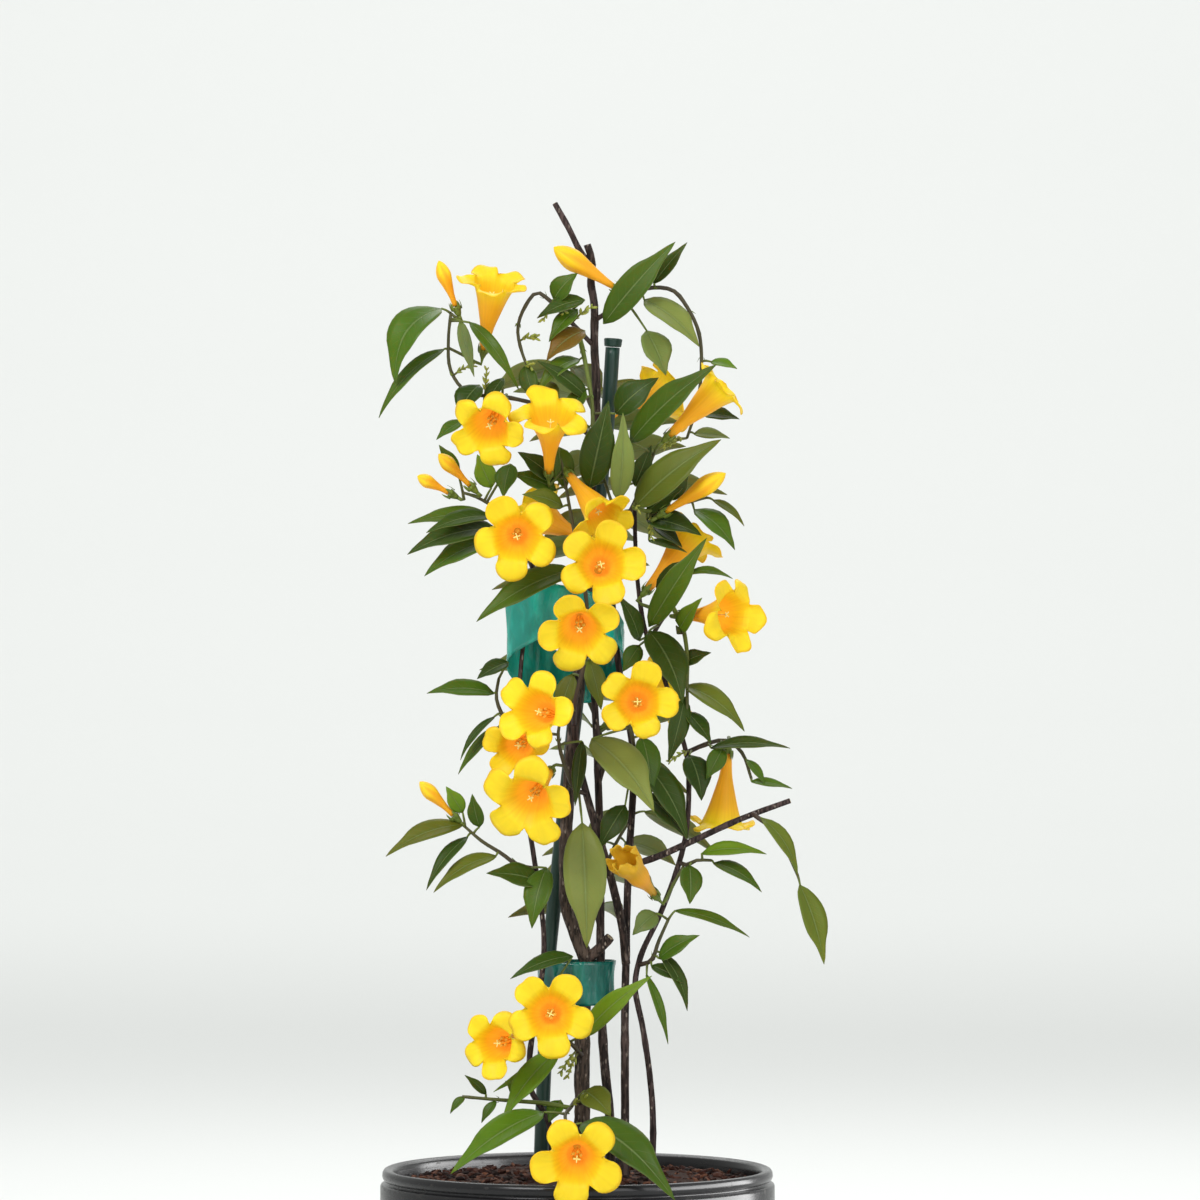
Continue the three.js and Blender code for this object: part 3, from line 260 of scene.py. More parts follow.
SHOOTS = (
    ShootPlan(
        "top_left", "main_stem", 466,
        routes=((
            (-2, -9, 474), (-14, -12, 480), (-30, -13, 484), (-46, -14, 486), (-53, -14, 495),
            (-54, -14, 508), (-53, -14, 519),
        ),),
        leaves=(
            Leaf((-57, -15, 521), (-76, -22, 489), 18, 11, MID),
            Leaf((-56, -14, 504), (-83, -20, 475), 8, 5),
            Leaf((-49, -16, 516), (-43, -24, 492), 5.5, 1, PALE),
            Leaf((-45, -18, 515), (-24, -26, 486), 6, 9, MID),
            Leaf((-41, -16, 489), (-50, -22, 475), 12, 2),
            Leaf((-31, -14, 492), (-40, -22, 477), 7, 1),
            Leaf((-48, -15, 474), (-59, -18, 466), 7, 1, MID),
        ),
        flowers=(
            Bloom((-35, -26, 529), (0.15, -0.45, 0.88), 32, 10),
            Bloom((-37, -43, 470), (-0.2, -0.86, -0.42), 36, 14),
        ),
        buds=(Closed((-51, -14, 522), (-58, -15, 541), 6),),
    ),
    ShootPlan(
        "crown", "main_stem", 506,
        routes=((
            (-4, -5, 517), (-12, -6, 525), (-17, -7, 528), (-22, -9, 522), (-25, -10, 513),
            (-23, -10, 502), (-17, -11, 489),
        ), (
            (0, -4, 513), (3, -9, 500), (6, -12, 482), (7, -15, 466), (11, -16, 450),
            (15, -15, 438),
        ),),
        leaves=(
            Leaf((-10, -7, 525), (0, -10, 536), 10, 2, MID),
            Leaf((3, -9, 525), (-17, -13, 517), 9, 2, DEEP),
            Leaf((0, -8, 521), (-12, -14, 507), 8, 2),
            Leaf((3, -9, 512), (-13, -15, 499), 12, 3, AUTUMN),
            Leaf((-22, -11, 497), (-18, -16, 482), 8, 1),
            Leaf((-16, -11, 490), (-7, -16, 480), 9, 1),
            Leaf((4, -14, 484), (-17, -20, 499), 8, 2),
            Leaf((3, -14, 487), (-6, -20, 474), 8, 1),
            Leaf((16, -13, 477), (34, -15, 492), 13, 3, DEEP),
            Leaf((5, -20, 446), (13, -26, 482), 14, 3, DEEP),
            Leaf((17, -18, 441), (19, -28, 477), 10, 4, PALE),
            Leaf((1, -9, 500), (-17, -17, 485), 9, 5, MID),
        ),
    ),
    ShootPlan(
        "top_right", "main_stem", 517,
        routes=((
            (14, -4, 521), (22, -6, 527), (30, -6, 530), (40, -6, 529), (46, -6, 522),
            (51, -6, 511), (52, -6, 496), (50, -5, 480), (46, -4, 467),
        ),),
        leaves=(
            Leaf((11, -8, 515), (41, -14, 549), 13, 3, MID),
            Leaf((32, -7, 532), (46, -9, 549), 6, 1, DEEP),
            Leaf((28, -8, 525), (51, -16, 505), 15, 3, PALE),
            Leaf((29, -9, 512), (37, -14, 493), 14, 1, PALE),
            Leaf((56, -7, 499), (67, -9, 496), 6, 1),
            Leaf((53, -4, 477), (68, -6, 475), 8, 1, DEEP),
            Leaf((49, -2, 469), (64, -3, 467), 7, 1, PALE),
        ),
        buds=(Closed((16, -6, 530), (-10, -9, 547), 9),),
    ),
    ShootPlan(
        "right_upper", "right_vine", 426,
        routes=((
            (23, -7, 438), (28, -9, 450), (32, -10, 460),
        ), (
            (23, -7, 438), (31, -6, 436), (38, -5, 438), (46, -5, 440), (54, -5, 442),
        ),),
        leaves=(
            Leaf((22, -15, 465), (58, -33, 497), 14, 4, MID),
            Leaf((24, -14, 438), (60, -24, 466), 16, 4, OLIVE),
            Leaf((29, -6, 433), (52, -14, 426), 14, 2, DEEP),
            Leaf((32, -4, 430), (44, -8, 421), 8, 1),
            Leaf((49, -6, 437), (66, -12, 420), 12, 3, MID),
            Leaf((57, -6, 441), (70, -8, 430), 5, 2),
            Leaf((38, -4, 441), (47, -2, 453), 8, 1),
            Leaf((30, -3, 424), (46, -6, 419), 5, 1),
            Leaf((29, -5, 436), (44, -8, 446), 9, 1, DEEP),
            Leaf((24, -10, 447), (31, -11, 464), 8, 1, DEEP),
        ),
        flowers=(Bloom((59, -18, 487), (0.73, -0.12, 0.68), 30, 20),),
        buds=(Closed((37, -12, 436), (62, -18, 452), 8),),
    ),
    ShootPlan(
        "right_low_mid", "outer_vine", 384,
        routes=((
            (35, -3, 390), (40, -6, 396), (43, -8, 404),
        ), (
            (40, -6, 396), (44, -10, 388), (46, -11, 376), (46, -11, 364), (46, -10, 350),
        ),),
        leaves=(
            Leaf((33, -8, 404), (50, -14, 416), 8, 2),
            Leaf((46, -9, 410), (65, -14, 408), 5, 3),
            Leaf((42, -9, 385), (52, -16, 400), 8, 2),
            Leaf((30, -14, 388), (54, -24, 425), 11, 4, MID),
            Leaf((30, -11, 386), (44, -22, 356), 17, 4, DEEP),
            Leaf((26, -9, 382), (17, -14, 401), 9, 2, DEEP),
            Leaf((26, -10, 380), (19, -14, 369), 8, 1, MID),
            Leaf((43, -9, 372), (56, -12, 377), 8, 1),
            Leaf((45, -9, 363), (70, -14, 344), 12, 4, OLIVE),
            Leaf((45, -9, 358), (38, -14, 331), 9, 2, DEEP),
            Leaf((46, -9, 352), (56, -13, 339), 9, 1),
        ),
        flowers=(
            Bloom((64, -30, 393), (0.72, -0.68, 0.02), 36, 0),
            Bloom((47, 10, 424), (0.62, 0.3, 0.72), 34, 30),
        ),
    ),
    ShootPlan(
        "centre", "right_vine_branch", 346,
        routes=((
            (-1, -22, 356), (3, -24, 374), (4, -24, 396), (0, -22, 420), (-4, -20, 442),
            (-7, -18, 460),
        ),),
        leaves=(
            Leaf((-8, -24, 463), (-5, -30, 445), 11, 2, MID),
            Leaf((-6, -22, 438), (-23, -28, 443), 9, 2, OLIVE),
            Leaf((-2, -24, 412), (-42, -30, 390), 14, 4, MID),
            Leaf((-9, -16, 449), (-25, -14, 461), 9, 2, DEEP),
            Leaf((-9, -15, 445), (-28, -13, 452), 9, 2, MID),
            Leaf((5, -15, 374), (10, -17, 353), 9, 1, OLIVE),
            Leaf((-2, -15, 368), (-8, -18, 349), 9, 1, OLIVE),
        ),
        flowers=(
            Bloom((1, -54, 386), (0, -0.95, -0.3), 38, 0),
            Bloom((10, -49, 414), (0.05, -0.99, 0.1), 39, 36),
            Bloom((10, -40, 434), (0.47, -0.65, -0.6), 30, 0),
            Bloom((-11, -38, 475), (0.03, -0.6, 0.8), 37, 0),
        ),
    ),
    ShootPlan(
        "left_mid", "left_vine", 412,
        routes=((
            (-22, -8, 420), (-28, -11, 430), (-34, -12, 437), (-42, -12, 442), (-48, -13, 444),
        ),),
        leaves=(
            Leaf((-38, -13, 435), (-71, -14, 431), 9, 2, MID),
            Leaf((-36, -14, 434), (-63, -26, 427), 10, 3, DEEP),
            Leaf((-34, -12, 429), (-71, -22, 418), 15, 4, DEEP),
            Leaf((-31, -11, 425), (-64, -18, 409), 14, 4, MID),
            Leaf((-50, -12, 452), (-58, -12, 464), 6, 1),
            Leaf((-28, -14, 456), (-31, -18, 442), 10, 1, MID),
            Leaf((-36, -13, 446), (-42, -13, 460), 9, 1),
        ),
        flowers=(Bloom((-25, -46, 425), (0, -0.99, -0.1), 39, 8),),
        buds=(
            Closed((-45, -16, 447), (-58, -20, 460), 6),
            Closed((-54, -11, 444), (-67, -13, 451), 5.5),
        ),
    ),
    ShootPlan(
        "left_low", "left_vine", 344,
        routes=((
            (-31, -10, 350), (-34, -10, 358), (-33, -9, 366),
        ),),
        leaves=(
            Leaf((-35, -11, 360), (-63, -16, 360), 10, 3),
            Leaf((-29, -11, 373), (-42, -16, 366), 9, 1),
            Leaf((-35, -12, 350), (-49, -16, 332), 4, 3),
            Leaf((-33, -10, 346), (-50, -12, 326), 6, 2),
        ),
    ),
    ShootPlan(
        "front_low", "right_vine_branch", 316,
        routes=((
            (-1, -19, 320), (-6, -21, 332), (-8, -21, 342), (-7, -20, 350),
        ),),
        leaves=(
            Leaf((2, -22, 306), (4, -30, 254), 18, 5, PALE),
            Leaf((2, -19, 340), (-1, -24, 313), 6, 1, DEEP),
        ),
        flowers=(
            Bloom((-17, -48, 353), (-0.35, -0.93, 0.08), 36, 14),
            Bloom((-25, -30, 338), (-0.25, -0.95, -0.2), 31, 36, tube=20),
            Bloom((-20, -52, 316), (-0.3, -0.86, -0.4), 43, 22),
        ),
    ),
    ShootPlan(
        "far_left", "left_vine", 286,
        routes=((
            (-25, -12, 288), (-32, -13, 293), (-40, -13, 298), (-47, -13, 304),
        ),),
        leaves=(
            Leaf((-48, -14, 305), (-80, -22, 292), 11, 4),
            Leaf((-46, -15, 300), (-63, -24, 278), 7, 3),
            Leaf((-34, -15, 292), (-60, -24, 277), 9, 4),
            Leaf((-48, -12, 310), (-55, -10, 321), 7, 1),
            Leaf((-41, -14, 304), (-44, -18, 318), 7, 1),
            Leaf((-15, -16, 281), (-38, -22, 285), 12, 2, DEEP),
            Leaf((-13, -17, 287), (-19, -25, 262), 12, 3, MID),
        ),
        buds=(Closed((-52, -14, 309), (-66, -16, 323), 6),),
    ),
    ShootPlan(
        "centre_right", "right_vine", 332,
        routes=((
            (24, -7, 336), (23, -14, 341), (21, -17, 350),
        ),),
        leaves=(
            Leaf((6, -20, 341), (32, -33, 311), 19, 5, PALE),
            Leaf((27, -14, 342), (31, -20, 318), 11, 2, MID),
            Leaf((27, -11, 332), (46, -18, 299), 14, 4, DEEP),
            Leaf((28, -12, 318), (46, -16, 299), 12, 2, DEEP),
            Leaf((20, -11, 313), (9, -15, 295), 10, 2, DEEP),
        ),
        flowers=(Bloom((25, -46, 357), (0, -0.99, 0.05), 36, 36),),
    ),
    ShootPlan(
        "right_low", "outer_vine", 336,
        routes=((
            (53, -3, 338), (62, -2, 340), (69, -4, 335), (73, -6, 324),
        ),),
        leaves=(
            Leaf((56, -8, 337), (89, -14, 337), 7, 3),
            Leaf((71, -7, 332), (79, -10, 321), 5, 1),
            Leaf((73, -8, 323), (90, -10, 320), 5, 1),
            Leaf((47, -8, 334), (52, -14, 315), 13, 2, DEEP),
            Leaf((61, -8, 337), (54, -13, 324), 8, 1),
        ),
        flowers=(Bloom((61, 8, 306), (-0.08, 0.04, -0.99), 32, 0),),
    ),
    ShootPlan(
        "twig", "outer_vine", 288,
        routes=((
            (46, -10, 288), (50, -13, 290), (56, -14, 290),
        ),),
        leaves=(
            Leaf((52, -16, 293), (79, -22, 293), 8, 3),
            Leaf((57, -15, 289), (77, -20, 277), 8, 3),
            Leaf((47, -14, 288), (47, -20, 272), 10, 1),
        ),
        flowers=(Bloom((22, -26, 288), (-0.5, -0.62, 0.6), 24, 0, tube=20, form=Form.WILTED),),
    ),
    ShootPlan(
        "drooping", "right_vine_twig", 309.5,
        routes=((
            (74, -18, 309), (81, -20, 304), (87, -21, 295), (92, -21, 284),
        ),),
        leaves=(
            Leaf((77, -20, 308), (92, -24, 284), 8, 4, OLIVE),
            Leaf((93, -21, 280), (103, -23, 247), 12, 2, OLIVE),
        ),
    ),
    ShootPlan(
        "low_right", "outer_vine", 244,
        routes=((
            (31, -11, 248), (34, -12, 256), (38, -12, 265),
        ),),
        leaves=(
            Leaf((41, -13, 269), (72, -16, 258), 6, 3),
            Leaf((34, -14, 249), (51, -20, 259), 9, 2),
            Leaf((33, -15, 268), (23, -20, 259), 9, 2, PALE),
            Leaf((35, -12, 251), (46, -16, 227), 7, 4),
            Leaf((31, -13, 246), (44, -18, 239), 7, 1),
            Leaf((29, -12, 242), (38, -14, 213), 4.5, 2),
        ),
    ),
    ShootPlan(
        "bottom_left", "main_stem", 208,
        routes=((
            (1, -12, 209), (-2, -18, 213), (-8, -20, 219), (-12, -16, 234),
        ),),
        leaves=(
            # The bright tone on the two low leaves here is partly painted light, as if the key light fell on
            # them.
            Leaf((2, -24, 217), (31, -36, 243), 10, 4, BRIGHT),
            Leaf((-8, -23, 211), (-31, -34, 183), 12, 4, BRIGHT),
            Leaf((-10, -20, 207), (-35, -26, 194), 5, 1),
            Leaf((-2, -15, 250), (-28, -24, 241), 8, 3),
        ),
        flowers=(
            Bloom((-11, -50, 228), (0, -0.99, 0.05), 40, 22),
            Bloom((-34, -41, 215), (-0.4, -0.9, -0.05), 31, 0, tube=24),
        ),
    ),
    ShootPlan(
        "bottom_front", "main_stem", 188,
        routes=((
            (0, -12, 190), (-3, -22, 187), (-5, -34, 185), (-4, -48, 181),
        ), (
            (-3, -22, 187), (-14, -22, 189), (-26, -23, 190), (-38, -24, 191), (-48, -25, 192),
        ),),
        leaves=(
            Leaf((3, -20, 194), (14, -28, 184), 13, 2, OLIVE),
            Leaf((-7, -20, 190), (-12, -24, 181), 7, 1),
            # The bright tone on the next leaf is partly painted light, as if the key light fell on it.
            Leaf((-14, -32, 186), (-52, -61, 163), 14, 5, BRIGHT),
            Leaf((2, -50, 183), (40, -92, 155), 18, 9, MID),
            Leaf((-24, -24, 191), (-30, -25, 199), 4, 1),
            Leaf((-38, -24, 193), (-47, -25, 201), 4, 1),
            Leaf((-47, -25, 192), (-53, -26, 185), 4, 1),
            Leaf((-34, -24, 190), (-40, -25, 181), 4.5, 1),
        ),
        flowers=(Bloom((0, -90, 171), (0, -0.98, -0.14), 41, 10),),
    ),
)

# The stake's middle line, and the ties' middle lines seen from above
STAKE_ROUTE = (
    (-17, 5, 14), (-16.4, 5, 90), (-15.3, 5, 168), (-13.9, 5, 205), (-12.8, 5, 240),
    (-9.4, 5, 275), (0, 5, 360), (8, 5, 432), (13, 5, 479), (14.8, 5, 505.4),
)
LOWER_LOOP = (
    (-16.6, 4), (-15, -1), (-6, -8.7), (3, -9.6), (10, -6.5), (15.4, 1), (15.2, 8),
    (10, 11.6), (0, 11), (-12, 10.6), (-16.4, 8),
)
UPPER_LOOP = (
    (-30, -4), (-23, -12), (-8, -17), (6, -15.5), (17, -7), (19.55, 3), (15, 14),
    (6, 19.5), (-9, 16), (-24, 7),
)

# New twigs: the points that they grow towards, by shoot
SPRIGS: dict[str, Sequence[Point]] = {
    "top_left": ((-44, -16, 497), (-38, -15, 495)),
    "crown": ((-18, -12, 509), (-14, -11, 517), (-20, -14, 497), (6, -9, 522), (-6, -9, 519)),
    "top_right": ((30, -14, 463), (26, -15, 458)),
    "right_upper": ((25, -16, 437), (31, -12, 420)),
    "right_low": ((36, -9, 330),),
    "bottom_left": ((-12, -24, 182), (-20, -24, 184)),
    "bottom_front": ((3, -24, 191),),
}


@dataclass(frozen=True)
class BackPlan:
    """The rule for the shoots on the side that the photo does not show.

    Each shoot climbs in steps and sways as it goes. The shoots take turns between two sides, so a start and a
    turn come in pairs.
    """

    seats: Sequence[float] = (258, 320, 398, 448)
    starts: Sequence[float] = (math.radians(112), math.radians(62))
    turns: Sequence[float] = (math.radians(-22), math.radians(22))
    sway: float = 0.6
    first_out: float = 4
    step_out: float = 6
    step_up: float = 13
    pairs: int = 4
    leaf_length: float = 36
    leaf_width: float = 12
    leaf_lift: float = 3
    petiole: float = 5
    splay: tuple[float, float] = (0.7, 1.2)
    lengths: tuple[float, float] = (0.75, 1.15)
    tilts: tuple[float, float] = (-0.5, 0.2)
    widths: tuple[float, float] = (0.8, 1.2)
    flower_reach: float = 34
    flower_span: float = 37
    seed: int = 11


class Draw:
    """Seeded random numbers, the same as those that placed the solids."""

    FACTOR = 16807
    LIMIT = 2147483647

    def __init__(self, seed: int) -> None:
        """Starts at a seed."""
        self.state = seed

    def unit(self) -> float:
        """A number from 0 to 1."""
        self.state = (self.state * self.FACTOR) % self.LIMIT
        return self.state / self.LIMIT

    def between(self, low: float, high: float) -> float:
        """A number from low to high."""
        return low + (high - low) * self.unit()


class Route:
    """A smooth line through points, in millimetres.

    Args:
        points: the points that it passes.
        closed: whether it runs back to its start.
    """

    DIVISIONS = 200
    STEP = 0.002

    def __init__(self, points: Sequence[Sequence[float]], closed: bool = False) -> None:
        """Keeps the points and measures the line."""
        self.points = [Vector((*p, 0)) if len(p) == 2 else Vector(p) for p in points]
        self.closed = closed
        samples = [self._at(i / self.DIVISIONS) for i in range(self.DIVISIONS + 1)]
        self.lengths = [0.0]
        for before, after in zip(samples, samples[1:]):
            self.lengths.append(self.lengths[-1] + (after - before).length)

    @property
    def length(self) -> float:
        """The length of the whole line."""
        return self.lengths[-1]

    def _at(self, share: float) -> Vector:
        """Finds a point on the centripetal curve through the points.

        Args:
            share: the share of the line, counted in points.

        Returns:
            The point.
        """
        points, count = self.points, len(self.points)
        place = (count if self.closed else count - 1) * share
        index = math.floor(place)
        weight = place - index
        if self.closed:
            p0, p1, p2, p3 = (points[(index + k) % count] for k in (-1, 0, 1, 2))
        else:
            if index >= count - 1:
                index, weight = count - 2, 1.0
            p1, p2 = points[index], points[index + 1]
            p0 = points[index - 1] if index > 0 else 2 * p1 - p2
            p3 = points[index + 2] if index + 2 < count else 2 * p2 - p1
        d0, d1, d2 = (max((b - a).length, 1e-6) ** 0.5 for a, b in ((p0, p1), (p1, p2), (p2, p3)))
        t1 = ((p1 - p0) / d0 - (p2 - p0) / (d0 + d1) + (p2 - p1) / d1) * d1
        t2 = ((p2 - p1) / d1 - (p3 - p1) / (d1 + d2) + (p3 - p2) / d2) * d1
        w2, w3 = weight * weight, weight**3
        return p1 + t1 * weight + (-3 * p1 + 3 * p2 - 2 * t1 - t2) * w2 + (2 * p1 - 2 * p2 + t1 + t2) * w3

    def at(self, share: float) -> Vector:
        """Finds a point by length.

        Args:
            share: the share of the line's length.

        Returns:
            The point.
        """
        target = min(max(share, 0.0), 1.0) * self.length
        low, high = 0, self.DIVISIONS
        while high - low > 1:
            middle = (low + high) // 2
            low, high = (middle, high) if self.lengths[middle] <= target else (low, middle)
        span = self.lengths[low + 1] - self.lengths[low]
        part = (target - self.lengths[low]) / span if span > 0 else 0.0
        return self._at((low + part) / self.DIVISIONS)

    def along(self, share: float) -> Vector:
        """The direction of the line at a share of its length."""
        return (self.at(share + self.STEP) - self.at(share - self.STEP)).normalized()

    def spaced(self, count: int) -> list[Vector]:
        """Points at equal distances."""
        return [self.at(i / count) for i in range(count + 1)]


def nearest_on(routes: Sequence[Route], place: Vector, skipped: float = 0.0) -> Vector:
    """Finds the point nearest to a place on any of several routes.

    Args:
        routes: the lines to look along.
        place: the place, in millimetres.
        skipped: how much of each route's start is left out, in millimetres.

    Returns:
        The nearest of the points tried, which are spaced evenly.
    """
    samples = [p for r in routes for p in r.spaced(SEARCH_STEPS) if (p - r.points[0]).length >= skipped]
    return min(samples, key=lambda p: (p - place).length)


def back_shoots(plan: BackPlan, vine: Route) -> list[ShootPlan]:
    """Lays out the shoots behind the stake by rule.

    Args:
        plan: the rule's numbers.
        vine: the stem that they grow from.

    Returns:
        One plan for each seat.
    """
    draw = Draw(plan.seed)
    shoots = []
    for k, seat in enumerate(plan.seats):
        start, turn = plan.starts[k % 2], plan.turns[k % 2]
        centre = nearest_on([vine], Vector((9, 11, seat)))
        route, leaves, flowers = [], [], []
        for i in range(1, plan.pairs + 1):
            reach, angle = plan.first_out + plan.step_out * i, start + turn * i * plan.sway
            height = seat - 2 + plan.step_up * i
            point = (centre.x + reach * math.cos(angle), centre.y + reach * math.sin(angle), height)
            route.append(tuple(math.floor(v + 0.5) for v in point))
        for i, (x, y, z) in enumerate(route):
            for side in (-1, 1):
                angle = start + turn * i * plan.sway + side * draw.between(*plan.splay)
                length, tilt = plan.leaf_length * draw.between(*plan.lengths), draw.between(*plan.tilts)
                reach, way = length * math.cos(tilt), (math.cos(angle), math.sin(angle))
                base = (x + plan.petiole * way[0], y + plan.petiole * way[1], z + 1)
                tip = (base[0] + reach * way[0], base[1] + reach * way[1], z + length * math.sin(tilt))
                leaves.append(Leaf(base, tip, plan.leaf_width * draw.between(*plan.widths), plan.leaf_lift))
        if k > 0:
            aim = start - turn * 1.6
            facing = (math.cos(aim) * 0.9, math.sin(aim) * 0.9, 0.4)
            mouth = tuple(p + plan.flower_reach * f for p, f in zip(route[1], facing))
            flowers.append(Bloom(mouth, facing, plan.flower_span, 20 * k))
        shoots.append(ShootPlan(f"back_{k + 1}", "back_vine", seat, (route,), leaves, flowers))
    return shoots


# Mesh making


def angle_at(turn: float) -> float:
    """The angle of a share of a turn. A whole turn is none, so that a seam's corners meet."""
    return FULL_TURN * (turn % 1.0)


def ring(first: Vector, second: Vector, angle: float) -> Vector:
    """The direction at an angle between two that stand square to each other."""
    return first * math.cos(angle) + second * math.sin(angle)


def polar(radius: float, angle: float, height: float = 0.0) -> Vector:
    """A point by its distance from the axis, its angle and its height."""
    return Vector((radius * math.cos(angle), radius * math.sin(angle), height))


def sideways(ahead: Vector) -> Vector:
    """A direction square to another, level unless that one stands nearly upright."""
    return ahead.cross(BACKWARD if abs(ahead.z) > 0.8 else UP).normalized()


def unrolled(across: float, along: float) -> Vector:
    """The grain of a piece whose finish follows no pattern on it."""
    return Vector((across, along, 0))


def all_over(colour: Colour) -> Paint:
    """The same colour everywhere."""
    return lambda across, along: colour


def placed(name: str, data: bpy.types.ID) -> bpy.types.Object:
    """Puts a mesh, a light or a camera into the scene.

    Args:
        name: the object's name.
        data: what it shows.

    Returns:
        The new object.
    """
    thing = bpy.data.objects.new(name, data)
    bpy.context.scene.collection.objects.link(thing)
    return thing


class Sculpt:
    """A mesh in the making. Each corner has a tint, and a grain that patterns follow."""

    ROUGHNESS = (0.72, 1.18)

    def __init__(self) -> None:
        """Starts with nothing."""
        self.bm = bmesh.new()
        self.tint = self.bm.verts.layers.float_color.new("tint")
        self.grain = self.bm.verts.layers.float_vector.new("grain")

    def lay(
        self, columns: int, rows: int, place: Place, tint: Paint, grain: Place = unrolled
    ) -> tuple[list[bmesh.types.BMVert], list[bmesh.types.BMFace]]:
        """Lays a grid of faces and bends it into shape.

        Args:
            columns: faces across.
            rows: faces along.
            place: where a corner goes, in millimetres, by its share across and along.
            tint: its colour.
            grain: its place in the pattern.

        Returns:
            The corners and the faces.
        """
        verts = bmesh.ops.create_grid(self.bm, x_segments=columns, y_segments=rows, size=0.5)["verts"]
        for vert in verts:
            across, along = vert.co.x + 0.5, vert.co.y + 0.5
            vert.co = place(across, along) * MM
            vert[self.tint] = (*tint(across, along), 1)
            vert[self.grain] = grain(across, along)
        return verts, list({face for vert in verts for face in vert.link_faces})

    def wrap(self, columns: int, rows: int, place: Place, tint: Paint, grain: Place = unrolled) -> None:
        """Lays a grid, closes it round into a tube and fills its ends.

        Args:
            columns: faces round it.
            rows: faces along it.
            place: where a corner goes, in millimetres, by its share round and along.
            tint: its colour.
            grain: its place in the pattern.
        """
        verts, _ = self.lay(columns, rows, place, tint, grain)
        bmesh.ops.remove_doubles(self.bm, verts=verts, dist=WELD)
        kept = [vert for vert in verts if vert.is_valid]
        edges = list({edge for vert in kept for edge in vert.link_edges if edge.is_boundary})
        bmesh.ops.holes_fill(self.bm, edges=edges, sides=0)

    def tube(
        self, route: Route, radius: Callable[[float, float], float], sides: int, rows: int, tint: Paint
    ) -> None:
        """Sweeps a round section along a route.

        Args:
            route: its middle line.
            radius: the radius by the share of a turn and the share of the length.
            sides: faces round it.
            rows: faces along it.
            tint: its colour.
        """
        middles = route.spaced(rows)
        frames: list[tuple[Vector, Vector]] = []
        side = route.along(0).orthogonal().normalized()
        for i in range(rows + 1):
            ahead = route.along(i / rows)
            side = (side - ahead * side.dot(ahead)).normalized()
            frames.append((side, ahead.cross(side)))

        def place(turn: float, share: float) -> Vector:
            """A corner on the section's circle."""
            i = round(share * rows)
            return middles[i] + ring(*frames[i], angle_at(turn)) * radius(turn % 1.0, share)

        def grain(turn: float, share: float) -> Vector:
            """The same corner on a straightened tube."""
            return polar(radius(turn % 1.0, share), FULL_TURN * turn, share * route.length)

        self.wrap(sides, rows, place, tint, grain)

    def thicken(
        self, faces: list[bmesh.types.BMFace], depth: Callable[[bmesh.types.BMVert], float]
    ) -> list[bmesh.types.BMVert]:
        """Gives a sheet its thickness on its lower side.

        Args:
            faces: the sheet, facing up.
            depth: the thickness at a corner, in millimetres.

        Returns:
            The corners of the new lower side.
        """
        made = bmesh.ops.extrude_face_region(self.bm, geom=faces, use_keep_orig=True)["geom"]
        lower = [item for item in made if isinstance(item, bmesh.types.BMVert)]
        self.bm.normal_update()
        moves = {vert: vert.normal * (-depth(vert) * MM) for vert in lower}
        for vert, move in moves.items():
            vert.co += move
        return lower

    def pebble(self, middle: Vector, size: Vector, turn: Vector, tint: Colour, draw: Draw) -> None:
        """Adds a small angular lump.

        Args:
            middle: where it lies, in millimetres.
            size: its three radii.
            turn: the direction of its long side.
            tint: its colour.
            draw: the source of its uneven corners.
        """
        verts = bmesh.ops.create_icosphere(self.bm, subdivisions=1, radius=1.0)["verts"]
        spin = UP.rotation_difference(turn)
        for vert in verts:
            corner = vert.co * size * draw.between(*self.ROUGHNESS)
            vert[self.grain] = corner
            vert.co = (middle + spin @ corner) * MM
            vert[self.tint] = (*tint, 1)

    def piece(
        self, name: str, finish: bpy.types.Material, slot: str, node: str = "", smooth: bool = True
    ) -> bpy.types.Object:
        """Turns the mesh into a piece that rides on the plant.

        Args:
            name: the piece's name.
            finish: its material.
            slot: the record's material slot that it belongs to; not used.
            node: the solid that it stands for, if any.
            smooth: whether its faces are shaded smoothly.

        Returns:
            The new object.
        """
        bmesh.ops.recalc_face_normals(self.bm, faces=self.bm.faces)
        for face in self.bm.faces:
            face.smooth = smooth
        mesh = bpy.data.meshes.new(name)
        self.bm.to_mesh(mesh)
        self.bm.free()
        mesh.materials.append(finish)
        piece = placed(name, mesh)
        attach(piece, "root")
        if node:
            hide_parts(node)
        log.info("%s: %d faces", name, len(mesh.polygons))
        return piece


# Materials


